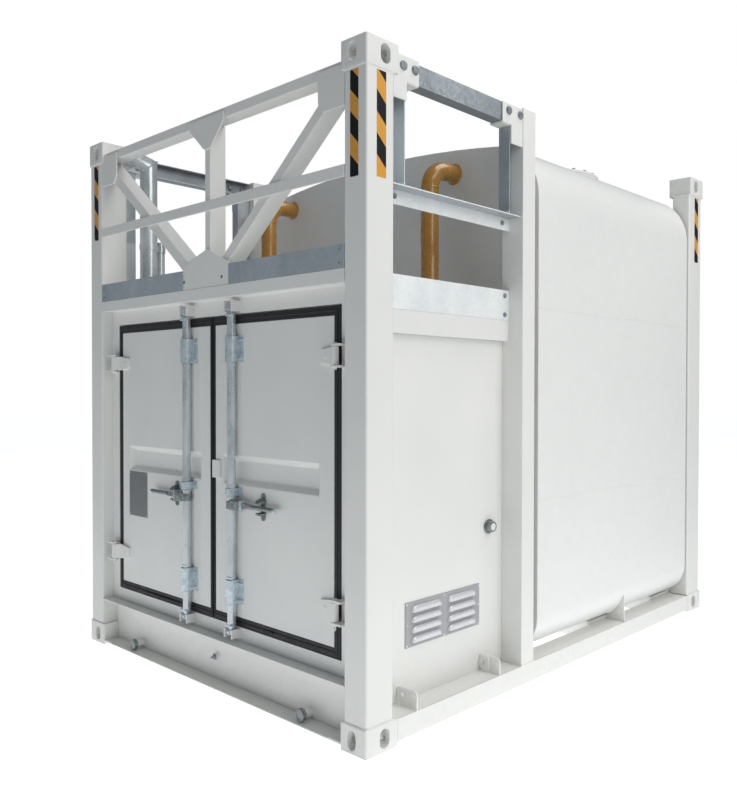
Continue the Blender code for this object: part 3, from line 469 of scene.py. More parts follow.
stub_x, stub_z = 0.757, 0.056
web_y, earth_z = -1.409, 0.140
boss_face = (0.0, -1.4252, earth_z)
caps = bmesh.new()
for side in sides.values():
    turned(caps, [(0.0, -0.001), (0.0275, -0.001), (0.0285, 0.002), (0.0285, 0.007), (0.0268, 0.008),
                  (0.0268, 0.010), (0.0285, 0.011), (0.0285, 0.017), (0.0265, 0.0195), (0.018, 0.0200),
                  (0.017, 0.0185), (0.0, 0.0185)], (side * stub_x, -1.4545, stub_z), (0, -1, 0))
piece("drain_caps", caps, dark_zinc)
earth = bmesh.new()
bolt(earth, boss_face, (0, -1, 0), 0.019, 0.008, 0.0165)
turned(earth, [(0.0, 0.0), (0.005, 0.0), (0.005, 0.020), (0.004, 0.021), (0.0, 0.021)],
       boss_face, (0, -1, 0), 16)
piece("earth_bolt", earth, bolt_zinc)
beads = bmesh.new()
for side in sides.values():
    turned(beads, [(0.0205, 0.0), (0.027, 0.0), (0.024, 0.004), (0.0205, 0.006)],
           (side * stub_x, web_y, stub_z), (0, -1, 0), 24)
    weld(beads, [(side * 0.980, -1.4885, 0.0265), (side * 1.0555, -1.4885, 0.0265)], 0.0025)
turned(beads, [(0.018, 0.0), (0.024, 0.0), (0.021, 0.003), (0.018, 0.005)], (0.0, web_y, earth_z),
       (0, -1, 0), 24)
piece("sill_welds", beads, frame_paint)

# Compartment shell: thin sheet welded between posts, rails and deck, sprayed like the frame. The
# floor sheet closes it below, and shallow ripples from the welding show in its sides.
dress(["side_wall_right", "side_wall_left", "compartment_floor"], frame_paint, 0.0008)

# Louvre plates: grey painted sheet with two columns of pressed hoods, each open at its lower
# edge, screwed over a hole in the side wall.
grey_paint = Finish("grey_paint", "grey_paint", Coat_Weight=0.1, Coat_Roughness=0.3)
cloud = grey_paint.noise(16.0, 3.0)
grey_paint.colour((0.41, 0.405, 0.425), (0.36, 0.36, 0.38), cloud)
grey_paint.gloss(cloud, 0.36, 0.5)
grey_paint.relief(grey_paint.noise(220.0, 2.0), 0.0003)
# The hoods are pressed from the same grey sheet as the plate. Their paler, more metallic colour is painted
# light, standing for the light that their raised tops catch.
painted_lit_hood_grey = Finish("painted_lit_hood_grey", "grey_paint", Metallic=0.25, Coat_Weight=0.2, Coat_Roughness=0.3)
cloud = painted_lit_hood_grey.noise(16.0, 3.0)
painted_lit_hood_grey.colour((0.72, 0.72, 0.75), (0.64, 0.64, 0.67), cloud)
painted_lit_hood_grey.gloss(cloud, 0.25, 0.38)
plate_y, plate_z, plate_face = (-1.154, -0.658), (0.338, 0.538), 1.0882
hood_rows = [0.370 + 0.045 * row for row in range(4)]
hood_middles, hood_half, hood_depth, hood_rise = (-1.024, -0.788), 0.095, 0.0125, 0.0275


def louvre_hood(hoods, side, middle, row):
    """One pressed hood: its back and top ends are round, and it is open below."""
    hood = bmesh.new()
    lip = row - hood_rise / 2
    bmesh.ops.create_cube(hood, size=1.0, matrix=Matrix.Translation((side * plate_face, middle, lip))
                          @ Matrix.Diagonal((2 * hood_depth, 2 * hood_half, 2 * hood_rise, 1.0)))
    ends = [edge for edge in hood.edges
            if abs((edge.verts[0].co - edge.verts[1].co).x) > hood_depth]
    round_off(hood, ends, 0.95 * hood_rise, 8, clamp=False)
    round_off(hood, sharp_edges(hood, 60), 0.94 * hood_depth, 5)
    cut(hood, (0, 0, lip), (0, 0, -1), keep=False)
    cut(hood, (side * (plate_face - 0.001), 0, 0), (-side, 0, 0), keep=False)
    pressed = bpy.data.meshes.new("hood")
    hood.to_mesh(pressed)
    hood.free()
    hoods.from_mesh(pressed)
    bpy.data.meshes.remove(pressed)


for side_name, side in sides.items():
    plate = bmesh.new()
    bmesh.ops.create_grid(plate, x_segments=1, y_segments=1, size=0.5, matrix=(
        Matrix.Translation((side * (plate_face - 0.0015), sum(plate_y) / 2, sum(plate_z) / 2))
        @ Matrix.Diagonal((1.0, plate_y[1] - plate_y[0], plate_z[1] - plate_z[0], 1.0))
        @ Matrix.Rotation(math.pi / 2, 4, "Y")))
    for row in hood_rows:
        for slit_edge in (row - 0.012, row - 0.002):
            cut(plate, (0, 0, slit_edge), (0, 0, 1))
    for middle in hood_middles:
        for slit_end in (middle - 0.084, middle + 0.084):
            cut(plate, (0, slit_end, 0), (0, 1, 0))
    slits = [face for face in plate.faces
             if any(abs(face.calc_center_median().y - middle) < 0.08 for middle in hood_middles)
             and any(abs(face.calc_center_median().z - row + 0.007) < 0.004 for row in hood_rows)]
    bmesh.ops.delete(plate, geom=slits, context="FACES")
    piece("louvre_sheet_" + side_name, plate, grey_paint, "frame", ("louvre_plate_" + side_name,),
          sheet=0.003)
    hoods = bmesh.new()
    for middle in hood_middles:
        for row in hood_rows:
            louvre_hood(hoods, side, middle, row)
    piece("louvre_hoods_" + side_name, hoods, painted_lit_hood_grey, sheet=0.0012)
    screws = bmesh.new()
    for y in (-1.145, -0.906, -0.667):
        for z in ((0.346, 0.530) if y == -0.906 else (0.346, 0.438, 0.530)):
            turned(screws, [(0.0055, -0.0005), (0.0055, 0.001), (0.004, 0.0026), (0.0, 0.0031)],
                   (side * plate_face, y, z), (side, 0, 0), 14)
    piece("louvre_screws_" + side_name, screws, zinc)

# Cable gland: a plated nut with a moulded dark seal, screwed into a boss of the near side wall.
gland = bmesh.new()
turned(gland, [(0.0, -0.0335), (0.034, -0.0335), (0.0352, -0.031), (0.0352, -0.026), (0.0275, -0.0255),
               (0.0275, -0.006), (0.0258, -0.001), (0.0185, 0.0), (0.0165, -0.006), (0.0, -0.006)],
       (1.1190, -0.588, 0.808), (1, 0, 0), 28)
piece("gland_nut", gland, dark_zinc)

# Door frame: flat bar round the doorway with a box header over it. Ears for the hinge pins and
# forked keepers for the lock rods are welded on and painted with it.
dress(["door_frame"], frame_paint, 0.0015)

# Deck: raised-pattern plate over the compartment, welded between two edge beams.
deck_paint = Finish("deck_paint", "frame_paint", Coat_Weight=0.1, Coat_Roughness=0.3)
cloud = deck_paint.noise(2.2, 3.0)
deck_paint.colour((0.82, 0.815, 0.79), (0.75, 0.75, 0.735), cloud)
deck_paint.gloss(deck_paint.noise(24.0, 3.0), 0.38, 0.55, 0.2, 0.8)
across, along = deck_paint.along("X"), deck_paint.along("Y")
one_way = deck_paint.node("Math", {"operation": "PINGPONG"}, {0: across + along, 1: 0.020})
other_way = deck_paint.node("Math", {"operation": "PINGPONG"}, {0: across - along, 1: 0.020})
inner = abs(across) < 1.075
lozenge = deck_paint.spread(one_way * 0.35 + other_way, 0.002, 0.006, 1.0, 0.0) * inner
deck_paint.relief(lozenge, 0.0015)
dress(["deck"], deck_paint, 0.0012)

# Toe boards: galvanised flat bar bolted on edge to the deck and to the header.
galvanised = Finish("galvanised_steel", "galvanised_steel")
mottle = galvanised.noise(7.0, 4.0, (1.0, 1.0, 0.45))
below_top_rails = galvanised.spread(galvanised.along("Z"), 2.345, 2.355, 1.0, 0.0)
warp = galvanised.node("Mix", {"data_type": "VECTOR"}, {
    0: 0.02, 4: galvanised.place,
    5: galvanised.node("TexNoise", {}, {"Vector": galvanised.place, "Scale": 40.0}, 1)}, 1)
crystal = galvanised.node("TexVoronoi", {}, {"Vector": warp, "Scale": 85.0}, "Color")
grain = galvanised.node("SeparateColor", {}, {0: crystal})
sheen = galvanised.spread(mottle * 0.85 + grain * 0.15, 0.3, 0.7)
flank = galvanised.spread(abs(galvanised.along("X")), 1.08, 1.09)
outward = galvanised.node("NewGeometry", output="Normal")
facing_up = galvanised.node("SeparateXYZ", {}, {0: outward}, "Z")
dull = galvanised.tint(galvanised.tint((0.36, 0.40, 0.435), (0.50, 0.54, 0.57), sheen),
                       (0.70, 0.75, 0.78), (galvanised.along("Y") < -1.195) * 0.8)
# The side toe boards and the mid rail, the galvanised parts below the top rails that stand out past the side
# walls, get a near-white, less metallic colour: a painted highlight, standing for the side light on them.
bright = galvanised.tint(galvanised.tint((0.42, 0.48, 0.53), (0.55, 0.61, 0.65), sheen),
                         galvanised.tint((0.80, 0.84, 0.86), (0.93, 0.95, 0.95), sheen), flank)
# Faces that lie level, tops and undersides alike, are darkened: partly dust on the tops, partly painted
# shade on both.
dust_and_painted_shade = galvanised.spread(abs(facing_up), 0.5, 0.8, 0.0, 0.75)
galvanised.feed("Metallic", 0.5 - 0.35 * flank * below_top_rails)
galvanised.colour(galvanised.tint(dull, bright, below_top_rails), (0.25, 0.28, 0.30), dust_and_painted_shade)
galvanised.gloss(grain * 0.5 + mottle * 0.5, 0.30, 0.52, 0.2, 0.8)
galvanised.relief(mottle * 0.7 + grain * 0.05, 0.0015)
dress(["front_toe_board_right", "front_toe_board_left", "side_toe_board_right",
       "side_toe_board_left"], galvanised, 0.001)
fixings = bmesh.new()
for side in sides.values():
    for y in (-1.300, -0.517):
        for z in (1.854, 1.948):
            bolt(fixings, (side * 1.127, y, z), (side, 0, 0), 0.017, 0.006, 0.0125)
    for z in (2.000, 2.055):
        bolt(fixings, (side * 1.045, -1.4905, z), (0, -1, 0), 0.0085, 0.0015, 0.006)
piece("toe_board_bolts", fixings, bolt_zinc)

# Truss over the door end: a channel beam, a post and two flat-sided braces that meet at gusset
# plates. A flat rail crosses in front. All of it is welded, and painted with the frame.
dress(["front_top_beam", "front_mid_rail"], frame_paint, 0.0018)
dress(["front_truss"], frame_paint, 0.0018, split=False)
beads = bmesh.new()
for side in sides.values():
    weld(beads, [(side * 1.0735, -1.4895, 2.352), (side * 1.0735, -1.4895, 2.398)], 0.003)
    weld(beads, [(side * 1.0550, -1.4790, 2.781), (side * 1.0550, -1.4790, 2.824)], 0.003)
piece("truss_welds", beads, frame_paint)
fixings = bmesh.new()
for x in (-0.172, 0.172):
    bolt(fixings, (x, -1.4885, 2.018), (0, -1, 0), 0.011, 0.0022, 0.008)
piece("gusset_bolts", fixings, dark_zinc)

# Guards along the deck: galvanised channel rails bolted to brackets on the posts, on angle
# stanchions. The near side has a second rail at half height.
dress(["guard_rail_right", "guard_rail_left"], galvanised, 0.0012)
bracket_face, rail_back = 1.2080, 1.1905
fixings = bmesh.new()
for side in sides.values():
    for y, z in ((-1.286, 2.826), (-1.218, 2.826), (-0.590, 2.826), (-0.501, 2.825)):
        bolt(fixings, (side * bracket_face, y, z), (side, 0, 0), 0.030, 0.0080, 0.0205)
        bolt(fixings, (side * rail_back, y, z), (-side, 0, 0), 0.030, 0.0120, 0.0205)
for y in (-1.260, -0.540):
    bolt(fixings, (1.1275, y, 2.304), (1, 0, 0), 0.017, 0.006, 0.0125)
piece("guard_bolts", fixings, bolt_zinc)

# Tank: rolled plate with flat sides, round corners and a slightly domed crown, lap-welded along
# its sides and closed by flat ends. Satin off-white, a little glossier than the frame.
tank_paint = Finish("tank_paint", "tank_paint", Coat_Weight=0.25, Coat_Roughness=0.18)
cloud = tank_paint.noise(1.1, 3.0)
film = tank_paint.noise(14.0, 4.0)
buckle = tank_paint.noise(2.3, 2.0, (1.0, 0.8, 1.4))
tank_paint.colour((0.84, 0.84, 0.825), (0.79, 0.79, 0.78),
                  tank_paint.spread(cloud * 0.6 + film * 0.4, 0.3, 0.7))
tank_paint.gloss(film, 0.30, 0.44, 0.2, 0.8)
tank_paint.relief(buckle + 0.006 * tank_paint.noise(170.0, 1.0), 0.010)
tank_y, tank_half, tank_low, corner_top = (-0.3385, 1.2785), 1.207, 0.132, 2.762
shell = bmesh.new()
slab(shell, (-tank_half, tank_half), tank_y, (tank_low, corner_top))
for level_z, radius, segments in ((corner_top, 0.300, 20), (tank_low, 0.190, 14)):
    corners = [edge for edge in shell.edges
               if all(abs(vertex.co.z - level_z) < 1e-5 for vertex in edge.verts)
               and abs(edge.verts[0].co.x - edge.verts[1].co.x) < 1e-5]
    round_off(shell, corners, radius, segments)
crown_half = tank_half - 0.300
for step in range(1, 20):
    cut(shell, (crown_half * (step / 10 - 1), 0, 0), (1, 0, 0))
for vertex in shell.verts:
    if vertex.co.z > corner_top - 0.001 and abs(vertex.co.x) < crown_half:
        vertex.co.z += 0.0618 * (1.0 - (vertex.co.x / crown_half) ** 2)
manhole, bolt_ring, bolt_count = Vector((0.50, 0.76, 0.0)), 0.2775, 20
turned(shell, [(0.255, 2.790), (0.255, 2.8475), (0.2935, 2.8475), (0.295, 2.849), (0.295, 2.8585),
               (0.2935, 2.860), (0.249, 2.860), (0.249, 2.790)], manhole, (0, 0, 1), 72)
piece("tank_shell_finished", shell, tank_paint, "frame", ("tank_shell",))
dress(["tank_front_end", "tank_rear_end"], tank_paint, 0.001)
beads = bmesh.new()
for side in sides.values():
    for seam in (1.900, 0.918):
        weld(beads, [(side * 1.2055, tank_y[0], seam), (side * 1.2055, tank_y[1], seam)], 0.0042, 0.012)
for level_y in (-0.3415, 1.2815):
    rim = [vertex.co.copy() for vertex in shape_of("tank_front_end").verts]
    rim = [point for point in rim if point.y < -0.3440]
    rim.sort(key=lambda point: math.atan2(point.z - 1.45, point.x))
    path = [Vector((point.x * 0.9985, level_y, 1.45 + (point.z - 1.45) * 0.9985)) for point in rim]
    weld(beads, path + [path[0]], 0.0035, 0.014)
turned(beads, [(0.2545, 2.812), (0.267, 2.812), (0.261, 2.824), (0.2545, 2.831)], manhole, (0, 0, 1), 64)
piece("tank_welds", beads, tank_paint)

# Manhole: a flat cover bolted to the neck's flange on a black joint ring.
rubber = Finish("black_rubber", "rubber", Specular_IOR_Level=0.35)
bloom = rubber.noise(28.0, 4.0)
rubber.colour((0.010, 0.011, 0.013), (0.032, 0.034, 0.036), bloom)
rubber.gloss(bloom, 0.45, 0.7)
rubber.relief(bloom, 0.0008)
cover = bmesh.new()
turned(cover, [(0.0, 2.8612), (0.2935, 2.8612), (0.295, 2.8627), (0.295, 2.8745), (0.2935, 2.876),
               (0.262, 2.876), (0.258, 2.8745), (0.0, 2.8745)], manhole, (0, 0, 1), 72)
for x in (-0.045, 0.045):
    grip = ((-0.055, 2.870), (-0.055, 2.889), (0.055, 2.889), (0.055, 2.870))
    sweep(cover, [manhole + Vector((x, y, z)) for y, z in grip], 0.005, 12)
piece("manhole_cover_finished", cover, tank_paint, "frame", ("manhole_cover",))
joint = bmesh.new()
turned(joint, [(0.250, 2.8590), (0.2925, 2.8590), (0.2925, 2.8625), (0.250, 2.8625), (0.250, 2.8590)],
       manhole, (0, 0, 1), 72)
piece("manhole_joint", joint, rubber)
fixings = bmesh.new()
for count in range(bolt_count):
    turn = math.tau * (count + 0.5) / bolt_count
    spot = manhole + Vector((bolt_ring * math.cos(turn), bolt_ring * math.sin(turn), 2.8755))
    bolt(fixings, spot, (0, 0, 1), 0.019, 0.008, 0.0145)
piece("manhole_bolts", fixings, bolt_zinc)

# Tank pipes: steel pipe painted mustard yellow, rising from the deck to a welded elbow and into
# the tank's end. Each carries a plain red and white marker.
mustard = Finish("mustard_paint", "yellow_paint", Coat_Weight=0.6, Coat_Roughness=0.12)
cloud = mustard.noise(7.0, 4.0)
mustard.colour((0.48, 0.232, 0.035), (0.42, 0.195, 0.026), mustard.spread(cloud, 0.3, 0.75))
mustard.gloss(mustard.noise(40.0, 3.0), 0.20, 0.36)
mustard.relief(cloud * 0.6 + 0.12 * mustard.noise(120.0, 2.0), 0.0015)
marker_red = Finish("marker_red", "yellow_paint", Coat_Weight=0.3)
marker_red.colour((0.33, 0.018, 0.02), (0.24, 0.015, 0.018), marker_red.noise(50.0, 3.0))
marker_white = Finish("marker_white", "frame_paint", Coat_Weight=0.3)
marker_white.colour((0.80, 0.80, 0.78), (0.68, 0.68, 0.66), marker_white.noise(50.0, 3.0))
pipe_radius, pipe_y, pipe_top, bend_radius, deck_top = 0.0475, -0.533, 2.665, 0.110, 1.8205
flange_top, bolt_circle, end_plate_y = deck_top + 0.010, 0.074, -0.3455
for side_name, x in (("right", 0.6235), ("left", -0.832)):
    pipe = bmesh.new()
    bend = [(x, pipe_y + bend_radius * (1.0 - math.cos(math.pi / 2 * step / 16)),
             pipe_top - bend_radius * (1.0 - math.sin(math.pi / 2 * step / 16))) for step in range(17)]
    sweep(pipe, [(x, pipe_y, deck_top)] + bend + [(x, end_plate_y, pipe_top)], pipe_radius, 36)
    turned(pipe, [(0.047, 0.0), (0.090, 0.0), (0.0915, 0.0015), (0.0915, 0.0085), (0.090, 0.010),
                  (0.053, 0.010), (0.047, 0.016)], (x, pipe_y, deck_top), (0, 0, 1), 40)
    for spot, facing in (((x, pipe_y, pipe_top - bend_radius), (0, 0, 1)),
                         ((x, pipe_y + bend_radius, pipe_top), (0, 1, 0))):
        turned(pipe, [(0.0468, -0.005), (0.0490, -0.003), (0.0497, 0.0), (0.0490, 0.003), (0.0468, 0.005)],
               spot, facing, 36)
    turned(pipe, [(0.047, 0.0), (0.058, 0.0), (0.053, 0.006), (0.047, 0.010)], (x, end_plate_y, pipe_top),
           (0, -1, 0), 36)
    piece("tank_pipe_finished_" + side_name, pipe, mustard, "frame", ("tank_pipe_" + side_name,))
    for finish, low, high, lift in ((marker_white, 2.255, 2.570, 0.0006), (marker_red, 2.262, 2.350, 0.0011),
                                    (marker_red, 2.540, 2.563, 0.0011)):
        patch = bmesh.new()
        reach = pipe_radius + lift
        spine = [patch.verts.new((x + reach * math.cos(math.radians(150)),
                                  pipe_y + reach * math.sin(math.radians(150)), z)) for z in (low, high)]
        bmesh.ops.spin(patch, geom=spine + [patch.edges.new(spine)], cent=(x, pipe_y, 0), axis=(0, 0, 1),
                       angle=math.radians(72), steps=10)
        piece(f"{finish.material.name}_{side_name}_{round(low * 1000)}", patch, finish, sheet=0.0006)
    foot = bmesh.new()
    for turn in range(4):
        angle = math.radians(45 + 90 * turn)
        spot = (x + bolt_circle * math.cos(angle), pipe_y + bolt_circle * math.sin(angle), flange_top)
        bolt(foot, spot, (0, 0, 1), 0.017, 0.008, 0.0125)
    piece("pipe_foot_bolts_" + side_name, foot, bolt_zinc)

# Vent risers: galvanised pipe on the far side of the deck. The large one ends in a welded mitre,
# and two straps clip the small one to it.
bright_pipe = Finish("galvanised_pipe", "galvanised_steel", Metallic=0.5)
mottle = bright_pipe.noise(14.0, 4.0, (1.0, 1.0, 0.35))
bright_pipe.colour((0.50, 0.54, 0.57), (0.72, 0.76, 0.78), bright_pipe.spread(mottle, 0.3, 0.7))
bright_pipe.gloss(mottle, 0.20, 0.36)
bright_pipe.relief(mottle, 0.0012)
large_x, large_y, large_radius = -1.000, -1.250, 0.0475
small_x, small_y, small_radius = -1.045, -1.155, 0.025
riser = bmesh.new()
knee, outlet = Vector((large_x, large_y, 2.795)), Vector((large_x, -1.372, 2.832))
sweep(riser, [(large_x, large_y, deck_top), knee, outlet], large_radius, 36)
sweep(riser, [(small_x, small_y, deck_top), (small_x, small_y, 2.360)], small_radius, 28)
rake = ((outlet - knee).normalized() + Vector((0, 0, 1))).normalized()
knuckle = [knee + Matrix.Rotation(math.tau * step / 40, 3, rake) @ (rake.orthogonal().normalized() * 0.0555)
           for step in range(41)]
level_knuckle = []
for point in knuckle:
    spoke = (point - knee).normalized()
    level_knuckle.append(knee + spoke * (large_radius / math.sqrt(1.0 - spoke.z ** 2)))
sweep(riser, level_knuckle, 0.0042, 8, 0.25)
for x, y, radius in ((large_x, large_y, large_radius), (small_x, small_y, small_radius)):
    turned(riser, [(radius - 0.001, 0.0), (radius + 0.030, 0.0), (radius + 0.030, 0.006),
                   (radius + 0.006, 0.006), (radius - 0.001, 0.012)], (x, y, deck_top), (0, 0, 1), 32)
for z in (1.965, 2.315):
    for x, y, radius, steps in ((large_x, large_y, large_radius, 32), (small_x, small_y, small_radius, 28)):
        turned(riser, [(radius - 0.0005, -0.015), (radius + 0.0035, -0.015), (radius + 0.0035, 0.015),
                       (radius - 0.0005, 0.015)], (x, y, z), (0, 0, 1), steps)
    slab(riser, (-1.034, -1.026), (-1.222, -1.168), (z - 0.015, z + 0.015), 0.001)
piece("vent_risers_finished", riser, bright_pipe, "frame", ("vent_risers",))

# Doors: folded steel leaves with a pressed recess across the middle and two shallow folds up each
# lock side. Tapered hinge blades are welded on, and the right leaf carries a lap over the joint.
leaf_face, leaf_back = -1.433, -1.383
leaf_z = (0.382, 1.796)
folds = {"right": (0.151, 0.259), "left": (0.117, 0.173)}
recesses = {"right": ((0.095, 0.842), (1.022, 1.158)), "left": ((0.1135, 0.858), (1.024, 1.156))}
knuckle_x, knuckle_y, knuckle_radius = 0.985, -1.462, 0.016
hinge_heights = {"upper": (1.585, 1.662), "lower": (0.509, 0.589)}
taper_x, taper_rise = (0.860, 0.939), 0.012


def prism(shape, outline, low, high, radius=0.0, turn=None):
    """A level outline drawn up from one height to another, with its arrises rounded. A turn
    then lays it on its side."""
    old = set(shape.verts)
    base = shape.faces.new([shape.verts.new((x, y, low)) for x, y in outline])
    grown = bmesh.ops.extrude_face_region(shape, geom=[base])["geom"]
    raised = [part for part in grown if isinstance(part, bmesh.types.BMVert)]
    bmesh.ops.translate(shape, verts=raised, vec=(0.0, 0.0, high - low))
    if radius:
        rims = [part for part in grown if isinstance(part, bmesh.types.BMEdge)] + list(base.edges)
        round_off(shape, rims, radius)
    if turn:
        bmesh.ops.transform(shape, matrix=turn, verts=[v for v in shape.verts if v not in old])


for side_name, side in sides.items():
    body = side_name + "_door"
    leaf = bmesh.new()
    slab(leaf, (side * 0.025, side * 0.943), (leaf_face, leaf_back), leaf_z, 0.0035, 3)
    press_x, press_z = recesses[side_name]
    for x in press_x:
        cut(leaf, (side * x, 0, 0), (1, 0, 0))
    for z in press_z:
        cut(leaf, (0, 0, z), (0, 0, 1))
    bmesh.ops.recalc_face_normals(leaf, faces=leaf.faces)
    middle = Vector((side * sum(press_x) / 2, leaf_face, sum(press_z) / 2))
    pressed = min(leaf.faces, key=lambda face: (face.calc_center_median() - middle).length)
    rim = list(pressed.edges)
    bmesh.ops.inset_region(leaf, faces=[pressed], thickness=0.022, depth=-0.028,
                           use_even_offset=True)
    bends = list(set(rim) | set(pressed.edges)
                 | {edge for vertex in pressed.verts for edge in vertex.link_edges})
    round_off(leaf, bends, 0.006, 3)
    for x in folds[side_name]:
        for fold_z in ((leaf_z[0] + 0.018, press_z[0] - 0.004), (press_z[1] + 0.004, leaf_z[1] - 0.018)):
            slab(leaf, (side * (x - 0.004), side * (x + 0.004)), (leaf_face - 0.0014, leaf_face + 0.002),
                 fold_z, 0.0013, 3)
    for level, (low, high) in hinge_heights.items():
        blade = bmesh.new()
        outline = [(taper_x[0], leaf_face + 0.002), (taper_x[0], leaf_face - 0.008),
                   (taper_x[0] + 0.006, leaf_face - 0.013), (0.948, leaf_face - 0.014),
                   (0.970, knuckle_y - 0.004), (knuckle_x, knuckle_y - 0.004),
                   (knuckle_x, knuckle_y + 0.012), (0.975, leaf_face - 0.0045),
                   (0.9427, leaf_face - 0.0045), (0.9427, leaf_face + 0.002)]
        prism(blade, [(side * x, y) for x, y in outline], low, high)
        for edge_z, way in ((low, -1.0), (high, 1.0)):
            slope = Vector((-side * taper_rise, 0.0, way * (taper_x[1] - taper_x[0])))
            cut(blade, (side * taper_x[1], 0.0, edge_z), slope, keep=False)
            bmesh.ops.holes_fill(blade, edges=blade.edges[:], sides=0)
        bmesh.ops.recalc_face_normals(blade, faces=blade.faces)
        soften(blade, 0.0012)
        turned(blade, [(0.0, low), (knuckle_radius - 0.0012, low), (knuckle_radius, low + 0.0012),
                       (knuckle_radius, high - 0.0012), (knuckle_radius - 0.0012, high), (0.0, high)],
               (side * knuckle_x, knuckle_y, 0.0), (0, 0, 1), 28)
        turned(blade, [(0.0, 0.0), (0.009, 0.0), (0.008, 0.002), (0.0, 0.0025)],
               (side * 0.896, leaf_face - 0.0132, (low + high) / 2), (0, -1, 0), 16)
        piece(f"hinge_blade_{level}_{side_name}", blade, frame_paint, body)
    if side > 0:
        prism(leaf, [(0.0068, leaf_face - 0.008), (0.0748, leaf_face - 0.008), (0.0748, leaf_face + 0.002),
                     (0.0262, leaf_face + 0.002), (0.0262, leaf_face + 0.0003),
                     (0.0068, leaf_face + 0.0003)], 1.0422, 1.1298, 0.0015)
    piece("door_finished_" + side_name, leaf, frame_paint, body, ("door_" + side_name,))

# Rod bearings, lever catches and hinge pins: plated straps bolted over the rods, a riveted strip
# with a bowed rib above and below each lever, and pins through the frame's ears.
catch_middles = {"right": 0.432, "left": 0.342}
catch_z, catch_jaws, strip_half = (0.867, 0.998), (0.907, 0.953), 0.0165
rib_way = Matrix(((0, 0, 1, 0), (1, 0, 0, 0), (0, 1, 0, 0), (0, 0, 0, 1)))
strip_way = Matrix(((1, 0, 0, 0), (0, 0, 1, 0), (0, 1, 0, 0), (0, 0, 0, 1)))
for side_name, side in sides.items():
    body = side_name + "_door"
    hardware = bmesh.new()
    rod_x, rod_axis_y = side * 0.205, -1.458
    for low, high, spots in ((1.610, 1.735, (1.628, 1.717)), (0.449, 0.566, (0.467, 0.548)),
                             (0.970, 1.007, (0.9885,))):
        reach = 0.065 if len(spots) > 1 else 0.058
        outer = [(0.0290 * math.cos(math.radians(angle)), 0.0290 * math.sin(math.radians(angle)))
                 for angle in range(180, 361, 10)]
        inner = [(0.0225 * math.cos(math.radians(angle)), 0.0225 * math.sin(math.radians(angle)))
                 for angle in range(360, 179, -10)]
        seat_y, flange_y = leaf_face - rod_axis_y + 0.001, leaf_face - rod_axis_y - 0.0045
        strap = ([(-reach, seat_y), (-reach, flange_y), (-0.0290, flange_y)] + outer
                 + [(0.0290, flange_y), (reach, flange_y), (reach, seat_y), (0.0225, seat_y)] + inner
                 + [(-0.0225, seat_y)])
        prism(hardware, [(rod_x + x, rod_axis_y + y) for x, y in strap], low, high, 0.0008)
        for flange in (-1.0, 1.0):
            for z in spots:
                for x in ((0.038, 0.057) if len(spots) > 1 and flange * side > 0 else (0.046,)):
                    bolt(hardware, (rod_x + flange * x, leaf_face - 0.0045, z), (0, -1, 0),
                         0.0105, 0.0055, 0.0072)
    piece("rod_bearings_" + side_name, hardware, zinc, body)
    catch = bmesh.new()
    catch_x = side * catch_middles[side_name]
    strip = [(catch_x + strip_half * math.cos(math.radians(start + angle)),
              z + strip_half * math.sin(math.radians(start + angle)))
             for z, start in ((catch_z[1] - strip_half, 0), (catch_z[0] + strip_half, 180))
             for angle in range(0, 181, 15)]
    prism(catch, strip, leaf_face - 0.0045, leaf_face + 0.001, 0.0012, strip_way)
    for end_z, jaw, way in ((catch_z[1], catch_jaws[1], -1.0), (catch_z[0], catch_jaws[0], 1.0)):
        tip = end_z + way * 0.020
        bow = [(leaf_face - 0.003, tip), (leaf_face - 0.010, tip + way * 0.001),
               (leaf_face - 0.024, tip + way * 0.006), (leaf_face - 0.036, jaw - way * 0.009),
               (leaf_face - 0.0405, jaw - way * 0.001), (leaf_face - 0.038, jaw),
               (leaf_face - 0.003, jaw)]
        prism(catch, bow, catch_x - 0.0095, catch_x + 0.0095, 0.0022, rib_way)
        turned(catch, [(0.0, 0.0), (0.0068, 0.0), (0.0060, 0.003), (0.0, 0.0044)],
               (catch_x, leaf_face - 0.0045, end_z + way * 0.0105), (0, -1, 0), 14)
        slab(catch, (catch_x - 0.022, catch_x + 0.022), (leaf_face - 0.030, leaf_face + 0.001),
             sorted((jaw, jaw - way * 0.012)), 0.003, 3)
    piece("lever_catch_" + side_name, catch, dark_zinc, body)
    pins = bmesh.new()
    for level, (low, high) in hinge_heights.items():
        ear_foot, ear_head = low - 0.012, high + 0.012
        turned(pins, [(0.0, ear_foot - 0.008), (0.0065, ear_foot - 0.008), (0.0078, ear_foot - 0.006),
                      (0.0078, ear_head), (0.0110, ear_head), (0.0110, ear_head + 0.0025),
                      (0.0080, ear_head + 0.0045), (0.0, ear_head + 0.005)],
               (side * knuckle_x, knuckle_y, 0.0), (0, 0, 1), 20)
        if level == "lower":
            sweep(pins, [(side * knuckle_x + x, knuckle_y, ear_foot + z) for x, z in
                         ((-0.0045, -0.004), (-0.0045, -0.021), (0.0, -0.027), (0.0045, -0.021),
                          (0.0045, -0.004))], 0.0021, 10)
    piece("hinge_pins_" + side_name, pins, frame_paint)

# Blank plate: etched grey metal on the left leaf, held by four rivets. Its face is left bare.
data_grey = Finish("etched_plate", "grey_paint", Metallic=0.35)
cloud = data_grey.noise(22.0, 4.0)
data_grey.colour((0.155, 0.165, 0.175), (0.24, 0.25, 0.26), cloud)
data_grey.gloss(cloud, 0.34, 0.52)
data_grey.relief(data_grey.noise(60.0, 2.0, (0.15, 1.0, 1.0)), 0.0006)
tag = bmesh.new()
slab(tag, (-0.864, -0.663), (leaf_face - 0.0022, leaf_face + 0.0005), (0.767, 1.016), 0.0009)
piece("blank_plate", tag, data_grey, "left_door")
rivets = bmesh.new()
for x in (-0.855, -0.672):
    for z in (0.776, 1.007):
        turned(rivets, [(0.0042, 0.0), (0.0035, 0.0014), (0.0, 0.0022)], (x, leaf_face - 0.0020, z),
               (0, -1, 0), 12)
piece("plate_rivets", rivets, zinc, "left_door")

